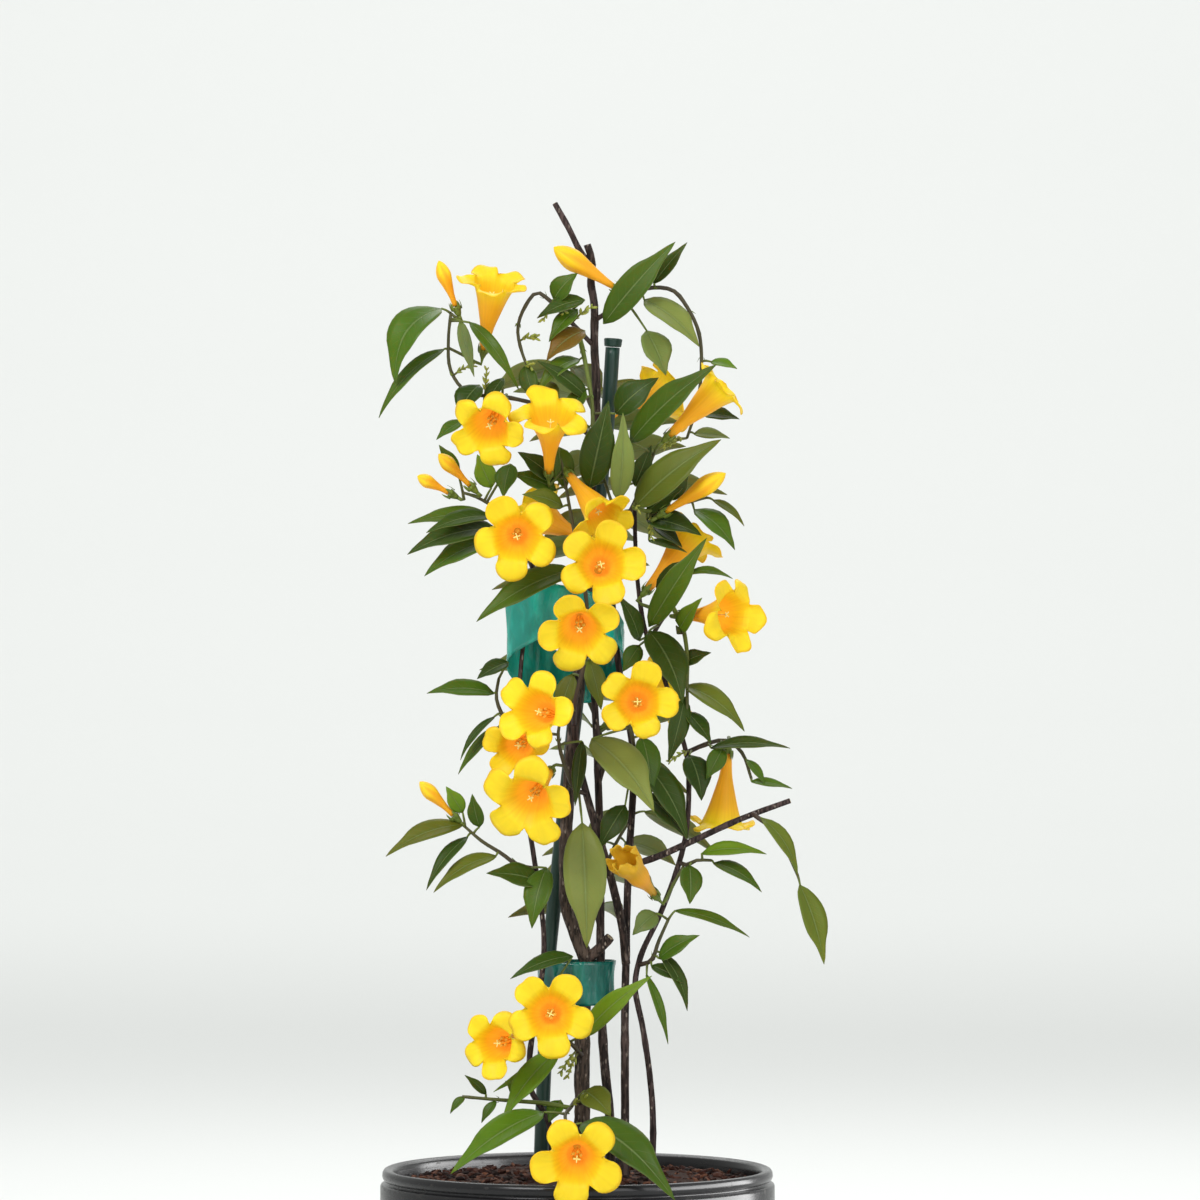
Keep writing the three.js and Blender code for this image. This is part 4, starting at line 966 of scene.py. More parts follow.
class Value:
    """A number that varies over a surface, with arithmetic."""

    def __init__(self, shader: "Shader", socket: bpy.types.NodeSocket) -> None:
        """Holds a socket of a shader's tree."""
        self.shader = shader
        self.socket = socket

    def _math(self, operation: str, *terms: "Value | float") -> "Value":
        """The result of a Math node."""
        node = self.shader.node("ShaderNodeMath", {"operation": operation}, dict(enumerate(terms)))
        return node.out(0)

    def __add__(self, other: "Value | float") -> "Value":
        """The sum."""
        return self._math("ADD", self, other)

    __radd__ = __add__

    def __sub__(self, other: "Value | float") -> "Value":
        """The difference."""
        return self._math("SUBTRACT", self, other)

    def __rsub__(self, other: float) -> "Value":
        """The difference from a number."""
        return self._math("SUBTRACT", other, self)

    def __mul__(self, other: "Value | float") -> "Value":
        """The product."""
        return self._math("MULTIPLY", self, other)

    __rmul__ = __mul__

    def __abs__(self) -> "Value":
        """The size without its sign."""
        return self._math("ABSOLUTE", self)

    def fraction(self) -> "Value":
        """What is left after the whole number."""
        return self._math("FRACT", self)

    def step(self, low: float, high: float) -> "Value":
        """Makes a smooth step.

        Args:
            low: where it starts, at 0.
            high: where it ends, at 1.

        Returns:
            The step.
        """
        node = self.shader.node(
            "ShaderNodeMapRange",
            {"interpolation_type": "SMOOTHSTEP"},
            {"Value": self, "From Min": low, "From Max": high},
        )
        return node.out("Result")


class Made:
    """A node that has been added to a shader."""

    def __init__(self, shader: "Shader", node: bpy.types.Node) -> None:
        """Holds the node."""
        self.shader = shader
        self.raw = node

    def out(self, key: str | int) -> Value:
        """One of its outputs."""
        return Value(self.shader, self.raw.outputs[key])


class Shader:
    """A material in the making, on one Principled shader.

    Args:
        name: the material's name.
        shine: its specular level.
        fixed: the shader's other sockets that are the same all over.
    """

    def __init__(self, name: str, shine: float, fixed: dict[str, object] | None = None) -> None:
        """Starts the material."""
        self.material = bpy.data.materials.new(name)
        self.material.use_nodes = True
        self.tree = self.material.node_tree
        self.surface = self.tree.nodes["Principled BSDF"]
        for key, value in {"Specular IOR Level": shine, **(fixed or {})}.items():
            self.surface.inputs[key].default_value = value

    def node(self, kind: str, settings: dict[str, object], sockets: dict[str | int, object]) -> Made:
        """Adds a node.

        Args:
            kind: its type.
            settings: its settings, which are set first. A ramp's are its stops.
            sockets: the values or links of its inputs, by name or number.

        Returns:
            The node.
        """
        made = self.tree.nodes.new(kind)
        for key, value in settings.items():
            if key == "stops":
                self._fill(made.color_ramp.elements, value)
            else:
                setattr(made, key, value)
        for key, value in sockets.items():
            if isinstance(value, Value):
                self.tree.links.new(value.socket, made.inputs[key])
            else:
                made.inputs[key].default_value = value
        return Made(self, made)

    @staticmethod
    def _fill(elements: bpy.types.ColorRampElements, stops: Sequence[tuple[float, Colour]]) -> None:
        """Sets a ramp's stops.

        Args:
            elements: the new ramp's own stops, of which it has two.
            stops: the place and colour of each stop, from left to right.
        """
        while len(elements) < len(stops):
            elements.new(0.5)
        for element, (at, colour) in zip(elements, stops):
            element.position = at
            element.color = (*colour, 1)

    def attribute(self, name: str, output: str) -> Value:
        """An attribute of the mesh."""
        return self.node("ShaderNodeAttribute", {"attribute_name": name}, {}).out(output)

    def places(self, scale: Point = (1, 1, 1)) -> Value:
        """Object coordinates, stretched."""
        return self.stretched(self.node("ShaderNodeTexCoord", {}, {}).out("Object"), scale)

    def stretched(self, vector: Value, scale: Point) -> Value:
        """A vector times another."""
        return self.node("ShaderNodeVectorMath", {"operation": "MULTIPLY"}, {0: vector, 1: scale}).out(0)

    def parts(self, vector: Value) -> tuple[Value, Value, Value]:
        """A vector's three numbers."""
        node = self.node("ShaderNodeSeparateXYZ", {}, {0: vector})
        return node.out(0), node.out(1), node.out(2)

    def mottle(self, where: Value, scale: float, detail: float = 2.0) -> Value:
        """Soft noise from 0 to 1."""
        noisy = self.node("ShaderNodeTexNoise", {}, {"Vector": where, "Scale": scale, "Detail": detail})
        return noisy.out("Fac")

    def specks(self, where: Value, scale: float) -> Value:
        """The distance to the nearest of scattered points."""
        return self.node("ShaderNodeTexVoronoi", {}, {"Vector": where, "Scale": scale}).out("Distance")

    def ramp(self, value: Value, stops: Sequence[tuple[float, Colour]]) -> Value:
        """A colour by a number, through stops."""
        return self.node("ShaderNodeValToRGB", {"stops": stops}, {0: value}).out("Color")

    def mix(
        self, share: Value | float, first: Value | Colour, second: Value | Colour, blend: str = "MIX"
    ) -> Value:
        """Blends one colour with another.

        Args:
            share: how much of the second colour shows.
            first: the first colour.
            second: the second colour.
            blend: how they are blended.

        Returns:
            The blended colour.
        """
        first, second = (c if isinstance(c, Value) else (*c, 1) for c in (first, second))
        settings = {"data_type": "RGBA", "blend_type": blend}
        return self.node("ShaderNodeMix", settings, {0: share, 6: first, 7: second}).out(2)

    def shaded(self, colour: Value | Colour, light: Value) -> Value:
        """A colour made lighter or darker by a number."""
        grey = self.node("ShaderNodeCombineColor", {}, {0: light, 1: light, 2: light}).out(0)
        return self.mix(1.0, colour, grey, "MULTIPLY")

    def tinted(self, colour: Value) -> Value:
        """A colour times each corner's own tint."""
        return self.mix(1.0, colour, self.attribute("tint", "Color"), "MULTIPLY")

    def relief(self, height: Value, strength: float, depth: float) -> Value:
        """A bump from a height, with its depth in metres."""
        sockets = {"Height": height, "Strength": strength, "Distance": depth}
        return self.node("ShaderNodeBump", {}, sockets).out(0)

    def finished(self, **links: Value) -> bpy.types.Material:
        """Links what varies and hands over the material.

        Args:
            links: the shader's sockets, with an underscore for each space, and what feeds them.

        Returns:
            The material.
        """
        for key, value in links.items():
            self.tree.links.new(value.socket, self.surface.inputs[key.replace("_", " ")])
        return self.material


@dataclass(frozen=True)
class LeafFinish:
    """Glossy leaves, tinted one by one, with a pale midrib, painted shade in the crease beside it, side veins
    and a pale margin.
    """

    name: str = "leaf_blade"
    gloss: float = 0.30
    vein: Colour = (0.20, 0.26, 0.09)
    ribs: float = 9

    def make(self) -> bpy.types.Material:
        """Makes the material.

        Returns:
            The material.
        """
        shader = Shader(self.name, 0.18, {"Subsurface Weight": 0.08, "Subsurface Scale": 0.002})
        across, along, _ = shader.parts(shader.attribute("grain", "Vector"))
        side = abs(across)
        midrib = 1 - side.step(0.02, 0.075)
        ribs = abs(((along * self.ribs - side * 1.6).fraction() - 0.5) * 2).step(0.82, 1.0) * (1 - side)
        mottle = shader.mottle(shader.places(), 90, 3)
        patches = shader.mottle(shader.places(), 28, 1)
        margin = side.step(0.90, 1.0)
        # The step on side darkens a strip each side of the midrib: painted shade in the crease along it.
        shade = mottle * 0.30 + patches * 0.5 + side.step(0.04, 0.22) * 0.16 + 0.47
        base = shader.shaded(shader.attribute("tint", "Color"), shade)
        base = shader.mix(midrib * 0.42 + ribs * 0.10 + margin * 0.22, base, self.vein)
        height = mottle * 0.25 - midrib * 0.8 - ribs * 0.35
        return shader.finished(
            Base_Color=base,
            Roughness=mottle * 0.22 + self.gloss,
            Normal=shader.relief(height, 0.5, 0.0004),
        )


@dataclass(frozen=True)
class PetalFinish:
    """Satin yellow petals over an orange throat, with fine streaks towards the foot and a painted glow inside
    the tube.
    """

    name: str
    stops: Sequence[tuple[float, Colour]]
    painted_glow: Colour = (0.80, 0.34, 0.035)

    def make(self) -> bpy.types.Material:
        """Makes the material. The inner side of the wall, where the tint's alpha is 0, carries a painted glow
        that stands in for light shining through the petal.

        Returns:
            The material.
        """
        shader = Shader(self.name, 0.25, {
            "Subsurface Weight": 0.35, "Subsurface Radius": (1, 0.5, 0.1), "Subsurface Scale": 0.004,
            "Emission Strength": 0.42,
        })
        grain = shader.attribute("grain", "Vector")
        _, _, reach = shader.parts(grain)
        streaks = shader.mottle(shader.stretched(grain, (9, 9, 1.6)), 1.0, 3)
        soft = shader.mottle(shader.places(), 120, 2)
        colour = shader.ramp(reach + (streaks - 0.5) * 0.10, self.stops)
        colour = shader.shaded(shader.tinted(colour), streaks * 0.24 + soft * 0.12 + 0.82)
        # inside marks where the painted glow goes: the tube's inner side, fading out towards the brim.
        inside = (1 - shader.attribute("tint", "Alpha")) * (1 - reach.step(0.38, 0.58))
        return shader.finished(
            Base_Color=colour,
            Emission_Color=shader.mix(inside * (streaks * 0.5 + 0.75), (0, 0, 0), self.painted_glow),
            Roughness=soft * 0.2 + 0.42,
            Normal=shader.relief(streaks * 0.7 + soft * 0.3, 0.35, 0.0004),
        )


@dataclass(frozen=True)
class BarkFinish:
    """Furrowed brown-purple bark with pale lenticels."""

    name: str = "bark_stem"
    lenticel: Colour = (0.36, 0.29, 0.24)

    def make(self) -> bpy.types.Material:
        """Makes the material.

        Returns:
            The material.
        """
        shader = Shader(self.name, 0.3)
        furrows = shader.mottle(shader.places((1, 1, 0.16)), 900, 4)
        blotches = shader.mottle(shader.places((1, 1, 0.5)), 130, 3)
        spots = shader.specks(shader.places((1, 1, 0.42)), 520)
        seen = shader.mottle(shader.places(), 240, 1).step(0.45, 0.6)
        lenticels = (1 - spots.step(0.16, 0.30)) * seen
        cracks = furrows.step(0.36, 0.56)
        shade = cracks * 0.9 + blotches.step(0.35, 0.7) * 0.7 + 0.22
        base = shader.shaded(shader.attribute("tint", "Color"), shade)
        flakes = shader.mottle(shader.places((1, 1, 0.4)), 420, 2).step(0.60, 0.70)
        base = shader.mix(lenticels * 0.8 + flakes * 0.28, base, self.lenticel)
        height = cracks * 0.9 + blotches * 0.6 + lenticels * 0.5
        return shader.finished(
            Base_Color=base,
            Roughness=0.92 - furrows * 0.25,
            Normal=shader.relief(height, 1.0, 0.0010),
        )


@dataclass(frozen=True)
class StalkFinish:
    """Young stems, leaf stalks and calyxes, smooth and tinted from brown to green."""

    name: str = "young_stalk"

    def make(self) -> bpy.types.Material:
        """Makes the material.

        Returns:
            The material.
        """
        shader = Shader(self.name, 0.35)
        lines = shader.mottle(shader.places((1, 1, 0.3)), 700, 3)
        return shader.finished(
            Base_Color=shader.shaded(shader.attribute("tint", "Color"), lines * 0.9 + 0.55),
            Roughness=lines * 0.25 + 0.42,
            Normal=shader.relief(lines, 0.5, 0.0003),
        )


@dataclass(frozen=True)
class PotFinish:
    """Glossy charcoal plastic with fine turning lines, scuffs and a little dust."""

    name: str = "charcoal_pot"
    base: Colour = (0.006, 0.006, 0.007)
    dust: Colour = (0.10, 0.085, 0.07)

    def make(self) -> bpy.types.Material:
        """Makes the material.

        Returns:
            The material.
        """
        shader = Shader(self.name, 0.32)
        lines = shader.mottle(shader.places((1, 1, 40)), 60, 2)
        scuffs = shader.mottle(shader.places((1, 1, 2.2)), 210, 5).step(0.58, 0.74)
        cloud = shader.mottle(shader.places(), 22, 3)
        base = shader.mix(scuffs * 0.10 + cloud * 0.03, self.base, self.dust)
        return shader.finished(
            Base_Color=base,
            Roughness=cloud * 0.14 + scuffs * 0.20 + 0.17,
            Normal=shader.relief(lines * 0.6 + cloud * 0.2, 0.12, 0.0004),
        )


@dataclass(frozen=True)
class ChipFinish:
    """Damp bark crumbs, tinted one by one."""

    name: str = "bark_mix"

    def make(self) -> bpy.types.Material:
        """Makes the material.

        Returns:
            The material.
        """
        shader = Shader(self.name, 0.15)
        fine = shader.mottle(shader.places(), 700, 5)
        coarse = shader.mottle(shader.places(), 160, 3)
        return shader.finished(
            Base_Color=shader.shaded(shader.attribute("tint", "Color"), fine * 1.2 + coarse * 0.7 + 0.05),
            Roughness=0.95 - coarse * 0.35,
            Normal=shader.relief(fine * 0.6 + coarse, 1.0, 0.0012),
        )


@dataclass(frozen=True)
class GroundFinish:
    """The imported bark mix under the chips."""

    name: str = "packed_mix"
    base: Colour = (0.030, 0.012, 0.007)

    def make(self) -> bpy.types.Material:
        """Makes the material.

        Returns:
            The material.
        """
        shader = Shader(self.name, 0.15)
        fine = shader.mottle(shader.places(), 600, 5)
        coarse = shader.mottle(shader.places(), 200, 3)
        return shader.finished(
            Base_Color=shader.shaded(self.base, fine * 1.6 + coarse * 0.6),
            Roughness=0.95 - fine * 0.2,
            Normal=shader.relief(fine + coarse, 1.0, 0.002),
        )


@dataclass(frozen=True)
class TapeFinish:
    """Teal stretch tape, creased, with a soft shine."""

    name: str = "teal_tape"
    light: Colour = (0.012, 0.40, 0.31)
    dark: Colour = (0.002, 0.11, 0.085)

    def make(self) -> bpy.types.Material:
        """Makes the material.

        Returns:
            The material.
        """
        shader = Shader(self.name, 0.55, {"Subsurface Weight": 0.1, "Subsurface Scale": 0.002})
        creases = shader.mottle(shader.places((1, 1, 0.35)), 150, 4)
        cloud = shader.mottle(shader.places(), 45, 2)
        base = shader.mix(creases.step(0.35, 0.7) * 0.6 + cloud * 0.4, self.dark, self.light)
        # The tint multiplies in each tie's painted light and shade.
        return shader.finished(
            Base_Color=shader.tinted(base),
            Roughness=creases * 0.2 + 0.10,
            Normal=shader.relief(creases + cloud * 0.6, 0.8, 0.0016),
        )


@dataclass(frozen=True)
class StakeFinish:
    """Dark green plastic coating with long faint scratches."""

    name: str = "green_stake"
    base: Colour = (0.006, 0.032, 0.022)
    scratch: Colour = (0.03, 0.09, 0.07)

    def make(self) -> bpy.types.Material:
        """Makes the material.

        Returns:
            The material.
        """
        shader = Shader(self.name, 0.45)
        lines = shader.mottle(shader.places((1, 1, 0.06)), 1200, 3)
        cloud = shader.mottle(shader.places(), 80, 2)
        base = shader.mix(lines.step(0.58, 0.75) * 0.4, self.base, self.scratch)
        return shader.finished(
            Base_Color=base,
            Roughness=cloud * 0.2 + 0.3,
            Normal=shader.relief(lines + cloud, 0.3, 0.0003),
        )


@dataclass(frozen=True)
class StamenFinish:
    """Pale yellow anthers and stigma."""

    name: str = "stamen"

    def make(self) -> bpy.types.Material:
        """Makes the material.

        Returns:
            The material.
        """
        shader = Shader(self.name, 0.3)
        pollen = shader.mottle(shader.places(), 2500, 2)
        return shader.finished(
            Base_Color=shader.shaded(shader.attribute("tint", "Color"), pollen * 0.5 + 0.75),
            Roughness=pollen * 0.2 + 0.5,
            Normal=shader.relief(pollen, 0.6, 0.0002),
        )


@dataclass(frozen=True)
class StageFinish:
    """The pale floor."""

    name: str = "pale_floor"
    base: Colour = (0.80, 0.81, 0.80)

    def make(self) -> bpy.types.Material:
        """Makes the material."""
        return Shader(self.name, 0.5, {"Base Color": (*self.base, 1), "Roughness": 0.9}).material


# A corolla's colours from its foot to the edges of its lobes
FRESH = (
    (0.00, (0.45, 0.30, 0.02)),
    (0.08, (0.80, 0.38, 0.012)),
    (0.38, (0.84, 0.37, 0.010)),
    (0.50, (0.84, 0.39, 0.010)),
    (0.58, (0.86, 0.47, 0.010)),
    (0.66, (0.88, 0.56, 0.011)),
    (0.95, (0.88, 0.57, 0.011)),
    (1.00, (0.84, 0.44, 0.010)),
)
FADED = (
    (0.00, (0.30, 0.22, 0.03)),
    (0.30, (0.62, 0.26, 0.016)),
    (0.70, (0.70, 0.35, 0.014)),
    (1.00, (0.62, 0.34, 0.020)),
)


class Finishes:
    """All the materials, made once."""

    def __init__(self) -> None:
        """Makes them."""
        self.leaf = LeafFinish().make()
        self.petal = PetalFinish("petal", FRESH).make()
        self.faded = PetalFinish("petal_faded", FADED, (0.35, 0.14, 0.02)).make()
        self.bark = BarkFinish().make()
        self.stalk = StalkFinish().make()
        self.pot = PotFinish().make()
        self.chips = ChipFinish().make()
        self.ground = GroundFinish().make()
        self.tape = TapeFinish().make()
        self.stake = StakeFinish().make()
        self.stamen = StamenFinish().make()
        self.floor = StageFinish().make()


# Sub-assemblies


def faded_to(low: Colour, high: Colour, share: float) -> Colour:
    """A colour a share of the way from one to another."""
    return tuple(a + (b - a) * share for a, b in zip(low, high))


def swelling(high: float, spacing: float, sharpness: float) -> float:
    """A swelling of 1 at even distances along a stem, midway between the multiples of their spacing."""
    return math.exp(-(((high % spacing) - spacing / 2) ** 2) / sharpness)


def varied(colour: Colour, draw: Draw, spread: float = 0.18) -> Colour:
    """A colour a little lighter or darker, and a little warmer or cooler."""
    light, warm = 1 + draw.between(-spread, spread), draw.between(-spread, spread) * 0.5
    return (colour[0] * light * (1 + warm), colour[1] * light, colour[2] * light * (1 - warm))


@dataclass
class WoodyStem:
    """A barky stem with its branches, each ending in a cut."""

    plan: StemPlan
    young: Colour = (0.040, 0.025, 0.024)
    old: Colour = (0.062, 0.044, 0.031)
    cut: Colour = (0.42, 0.34, 0.22)
    thick: float = 3.0
    node_spacing: float = 38
    pitch: float = 2.2

    def _sweep(self, sculpt: Sculpt, route: Route, foot: float, tip: float, seed: float) -> None:
        """Adds a stem along a route, knobbly where it is thick.

        Args:
            sculpt: the mesh.
            route: its middle line.
            foot: radius at its foot.
            tip: radius at its end.
            seed: tells its knobs from those of others.
        """
        thick = foot > self.thick
        knobs = 0.16 if thick else 0.08

        def radius(turn: float, share: float) -> float:
            """The radius with its knobs and leaf nodes."""
            size, high = foot + (tip - foot) * share, share * route.length
            cos, sin = math.cos(FULL_TURN * turn), math.sin(FULL_TURN * turn)
            lump = noise.noise(Vector((cos * 0.9 + seed, sin * 0.9, high * 0.09)))
            fine = noise.noise(Vector((cos * 2.2, sin * 2.2 + seed, high * 0.45)))
            node = swelling(high + 11 * seed, self.node_spacing, 5)
            return size * (0.97 + knobs * lump + 0.5 * knobs * fine + 0.10 * node)

        def tint(turn: float, share: float) -> Colour:
            """Old bark where the stem is thick."""
            age = min(1.0, max(0.0, (foot + (tip - foot) * share - 1.2) / 2.6))
            return faded_to(self.young, self.old, age)

        rows = max(8, round(route.length / self.pitch))
        sculpt.tube(route, radius, 16 if thick else 12, rows, tint)

    def build(self, finishes: Finishes) -> None:
        """Makes the stem that stands for its node.

        Args:
            finishes: the materials.
        """
        sculpt = Sculpt()
        plan = self.plan
        self._sweep(sculpt, Route(plan.route), plan.foot, plan.tip, 0.0)
        for k, branch in enumerate(plan.branches):
            route = Route(branch.route)
            self._sweep(sculpt, route, branch.foot, branch.tip, 3.1 + k)
            end, ahead = route.at(1), route.along(1)
            face = Route([end - ahead * 0.3, end, end + ahead * 0.15])
            sculpt.tube(face, lambda turn, share: branch.tip * 0.78, 10, 2, all_over(self.cut))
        sculpt.piece(f"bark_{plan.name}", finishes.bark, "bark", plan.name)


class Foliage:
    """Adds leaves to a sculpt where the solids have them."""

    COLUMNS = 6
    ROWS = 9
    LONG_ROWS = 14
    LONG = 30.0
    THICKNESS = 0.42
    MIDRIB = 0.35
    CHANCES = ((0.34, DEEP), (0.76, MID), (0.88, BRIGHT), (1.0, OLIVE))

    def __init__(self, sculpt: Sculpt, solid: bpy.types.Object) -> None:
        """Keeps the corners of the solid.

        Args:
            sculpt: the mesh.
            solid: the shoot's own node.
        """
        self.sculpt = sculpt
        self.corners = KDTree(len(solid.data.vertices))
        for index, vert in enumerate(solid.data.vertices):
            self.corners.insert(vert.co, index)
        self.corners.balance()

    def settled(self, leaf: Leaf) -> tuple[Vector, Vector, float]:
        """Finds how the solid's leaf swung or shortened to keep clear.

        Args:
            leaf: the leaf in the plan.

        Returns:
            The start and the tip of its blade, and its length as a share of the plan's.
        """
        base, tip = Vector(leaf.base), Vector(leaf.tip)
        ways = [
            (base + BACKWARD * (0.4 * swing), base.lerp(tip, length) + BACKWARD * swing, length)
            for length in LEAF_LENGTHS
            for swing in LEAF_SWINGS
        ]
        return min(ways, key=lambda way: self.corners.find(way[1] * MM)[2])

    def add(self, leaf: Leaf, draw: Draw) -> Vector:
        """Adds a blade.

        Args:
            leaf: the leaf in the plan.
            draw: the source of its tint and waves.

        Returns:
            The start of the blade, where its stalk ends.
        """
        base, tip, length = self.settled(leaf)
        width = leaf.width * length
        outward = Vector((tip.x, tip.y, 0)).normalized()
        lean = -FACE_LEAN if base.y < 5 else FACE_LEAN
        face = (outward * 0.35 + Vector((0, lean, 0.65))).normalized()
        chord = tip - base
        above = chord.cross(face).normalized().cross(chord).normalized()
        control = base.lerp(tip, 0.5) + above * (2 * leaf.lift)
        phase, wave = draw.between(0, 6.28), draw.between(0.03, 0.09)

        def frame_at(t: float) -> tuple[Vector, Vector, Vector]:
            """The midrib's place, and the directions to the side and up."""
            middle = base * ((1 - t) ** 2) + control * (2 * t * (1 - t)) + tip * (t * t)
            ahead = ((control - base) * (1 - t) + (tip - control) * t).normalized()
            side = ahead.cross(face).normalized()
            return middle, side, side.cross(ahead).normalized()

        def half_at(t: float) -> float:
            """Half the blade's width, drawn out into a long tip."""
            bend = t**0.75
            drawn = 1 - 0.28 * math.sin(math.pi * min(1.0, max(0.0, (t - 0.62) / 0.38)))
            return max(width * 2 * bend * (1 - bend) * drawn, 0.32 * (1 - t) + 0.03)

        def place(across: float, along: float) -> Vector:
            """A corner of the folded and ruffled blade."""
            x = 2 * across - 1
            middle, side, normal = frame_at(along)
            half = half_at(along)
            fold = BLADE_FOLD * half * abs(x) ** 1.4
            ruffle = wave * half * math.sin(9 * along + phase + (1.7 if x > 0 else 0)) * x * x
            return middle + side * (x * half) + normal * (fold + ruffle)

        tone = leaf.tone or self.usual(draw)
        upper = varied(tone.value, draw)
        under = varied(UNDERSIDE, draw, 0.1)
        tilt = draw.between(-0.15, 0.15)
        if tone is PALE:
            under = varied(MID.value, draw)
        rows = self.LONG_ROWS if chord.length > self.LONG else self.ROWS
        _, faces = self.sculpt.lay(
            self.COLUMNS, rows, place,
            lambda across, along: tuple(c * (1 + tilt * (2 * along - 1)) for c in upper),
            lambda across, along: Vector((2 * across - 1, along, phase)),
        )
        grain = self.sculpt.grain

        def depth(vert: bmesh.types.BMVert) -> float:
            """The thickness, more under the midrib and less towards the tip."""
            rib = self.MIDRIB if abs(vert[grain].x) < 0.1 else 0.0
            return (self.THICKNESS + rib) * (1 - 0.6 * vert[grain].y)

        self.sculpt.bm.normal_update()
        if sum(f.normal.dot(face) * f.calc_area() for f in faces) < 0:
            bmesh.ops.reverse_faces(self.sculpt.bm, faces=faces)
        for vert in self.sculpt.thicken(faces, depth):
            vert[self.sculpt.tint] = (*under, 1)
        return base

    def usual(self, draw: Draw) -> Tone:
        """A tone by chance, mostly mid and deep green."""
        chance = draw.unit()
        return next(tone for limit, tone in self.CHANCES if chance < limit)


@dataclass
class Shoot:
    """A leafy shoot: its blades are one piece, and its stem, stalks and calyxes another."""

    plan: ShootPlan
    carrier: Route
    carrier_foot: float
    brown: Colour = (0.040, 0.022, 0.020)
    green: Colour = (0.075, 0.075, 0.024)
    calyx_green: Colour = (0.130, 0.180, 0.022)
    bud_green: Colour = (0.300, 0.330, 0.050)
    internode: float = 20.0
    node_spacing: float = 17.0
    sprig_length: float = 11.0
    sprig_nodes: int = 4
    slimming: float = 0.8

    def _routes(self) -> list[Route]:
        """The shoot's own stem from the heart of what carries it, and its branches."""
        first = self.plan.routes[0]
        start = nearest_on([self.carrier], Vector((first[0][0], first[0][1], self.plan.seat)))
        return [Route([start, *first]), *(Route(points) for points in self.plan.routes[1:])]

    def _stem(self, sculpt: Sculpt, route: Route, foot: float, tip: float, low: Colour, high: Colour) -> None:
        """Adds a young stem, swollen a little at its nodes.

        Args:
            sculpt: the mesh.
            route: its middle line.
            foot: radius at its foot.
            tip: radius at its end.
            low: colour at its foot.
            high: colour at its end.
        """

        def radius(turn: float, share: float) -> float:
            """The radius with its swollen nodes."""
            node = swelling(share * route.length, self.node_spacing, 1.5)
            return (foot + (tip - foot) * share) * (0.96 + 0.16 * node)

        rows = max(4, round(route.length / 3))
        sculpt.tube(route, radius, 8, rows, lambda turn, share: faded_to(low, high, share))

    def _bracts(self, sculpt: Sculpt, route: Route, draw: Draw) -> None:
        """Adds a pair of small pointed scales at each node of a young stem.

        Args:
            sculpt: the mesh.
            route: the stem's middle line.
            draw: the source of how they turn, their lengths and tints.
        """
        for k in range(int(route.length / self.internode)):
            share = (k + 0.5) * self.internode / route.length
            middle, ahead = route.at(share), route.along(share)
            across = sideways(ahead)
            out = ring(across, across.cross(ahead), draw.between(0, math.pi))
            tint = all_over(varied(self.calyx_green, draw))
            for way in (-1, 1):
                side = ahead.cross(out)
                length = draw.between(1.3, 2.2)

                def scale(turn: float, reach: float, way: int = way, length: float = length) -> Vector:
                    """A corner of a scale that leans outwards."""
                    angle = angle_at(turn)
                    half = 0.32 * length * (1 - reach) ** 0.6 + 0.03
                    rise = out * (way * (0.9 + 0.5 * length * reach + 0.2 * math.sin(angle) * (1 - reach)))
                    return middle + rise + ahead * (length * reach) + side * (half * math.cos(angle))

                sculpt.wrap(5, 3, scale, tint)

    def _sprig(self, sculpt: Sculpt, foot: Vector, toward: Vector, draw: Draw) -> None:
        """Adds a thin new twig with pairs of tiny leaf buds along it.

        Args:
            sculpt: the mesh.
            foot: where it leaves the stem.
            toward: the point that it grows towards.
            draw: the source of the buds' sizes and tints.
        """
        reach = toward - foot
        tip = foot + reach.normalized() * min(reach.length, self.sprig_length)
        route = Route([foot, foot.lerp(tip, 0.5) + Vector((0, -0.5, 0.8)), tip])
        self._stem(sculpt, route, 0.5, 0.35, self.green, self.bud_green)
        out = route.along(0.5).orthogonal().normalized()
        for k in range(1, self.sprig_nodes + 1):
            share = k / self.sprig_nodes
            ahead = route.along(share)
            for way in (-1, 1):
                size = draw.between(0.7, 1.2)
                lie = (ahead + out * (way * 0.8)).normalized()
                middle = route.at(share) + lie * (1.3 * size)
                tint = varied(self.bud_green, draw)
                sculpt.pebble(middle, Vector((0.62, 0.5, 1.7)) * size, lie, tint, draw)
            out = out.cross(ahead).normalized()

    def _calyx(self, sculpt: Sculpt, seat: Vector, axis: Vector, draw: Draw) -> None:
        """Adds the cup and the five pointed sepals that hold a corolla's foot.

        Args:
            sculpt: the mesh.
            seat: where the corolla stands.
            axis: where the flower faces.
            draw: the source of their tint.
        """
        across = sideways(axis)
        above = across.cross(axis)
        foot = seat - axis * CALYX_LENGTH
        tint = all_over(varied(self.calyx_green, draw))

        def cup(turn: float, share: float) -> Vector:
            """A corner of the cup."""
            size = 0.9 + 1.25 * share**0.8
            return foot + axis * (CALYX_LENGTH * share) + ring(across, above, angle_at(turn)) * size

        sculpt.wrap(10, 4, cup, tint)
        for k in range(LOBES):
            out = ring(across, above, FULL_TURN * (k + 0.3) / LOBES)
            side = axis.cross(out)

            def sepal(turn: float, share: float, out: Vector = out, side: Vector = side) -> Vector:
                """A corner of a sepal that hugs the corolla."""
                angle = angle_at(turn)
                half = 0.95 * (1 - share) ** 0.5 + 0.02
                bulge = 2.15 + 0.35 * math.sin(2.4 * share) + 0.22 * math.sin(angle) * (1 - 0.8 * share)
                return seat + axis * (3.9 * share - 1.4) + out * bulge + side * (half * math.cos(angle))

            sculpt.wrap(6, 4, sepal, tint)

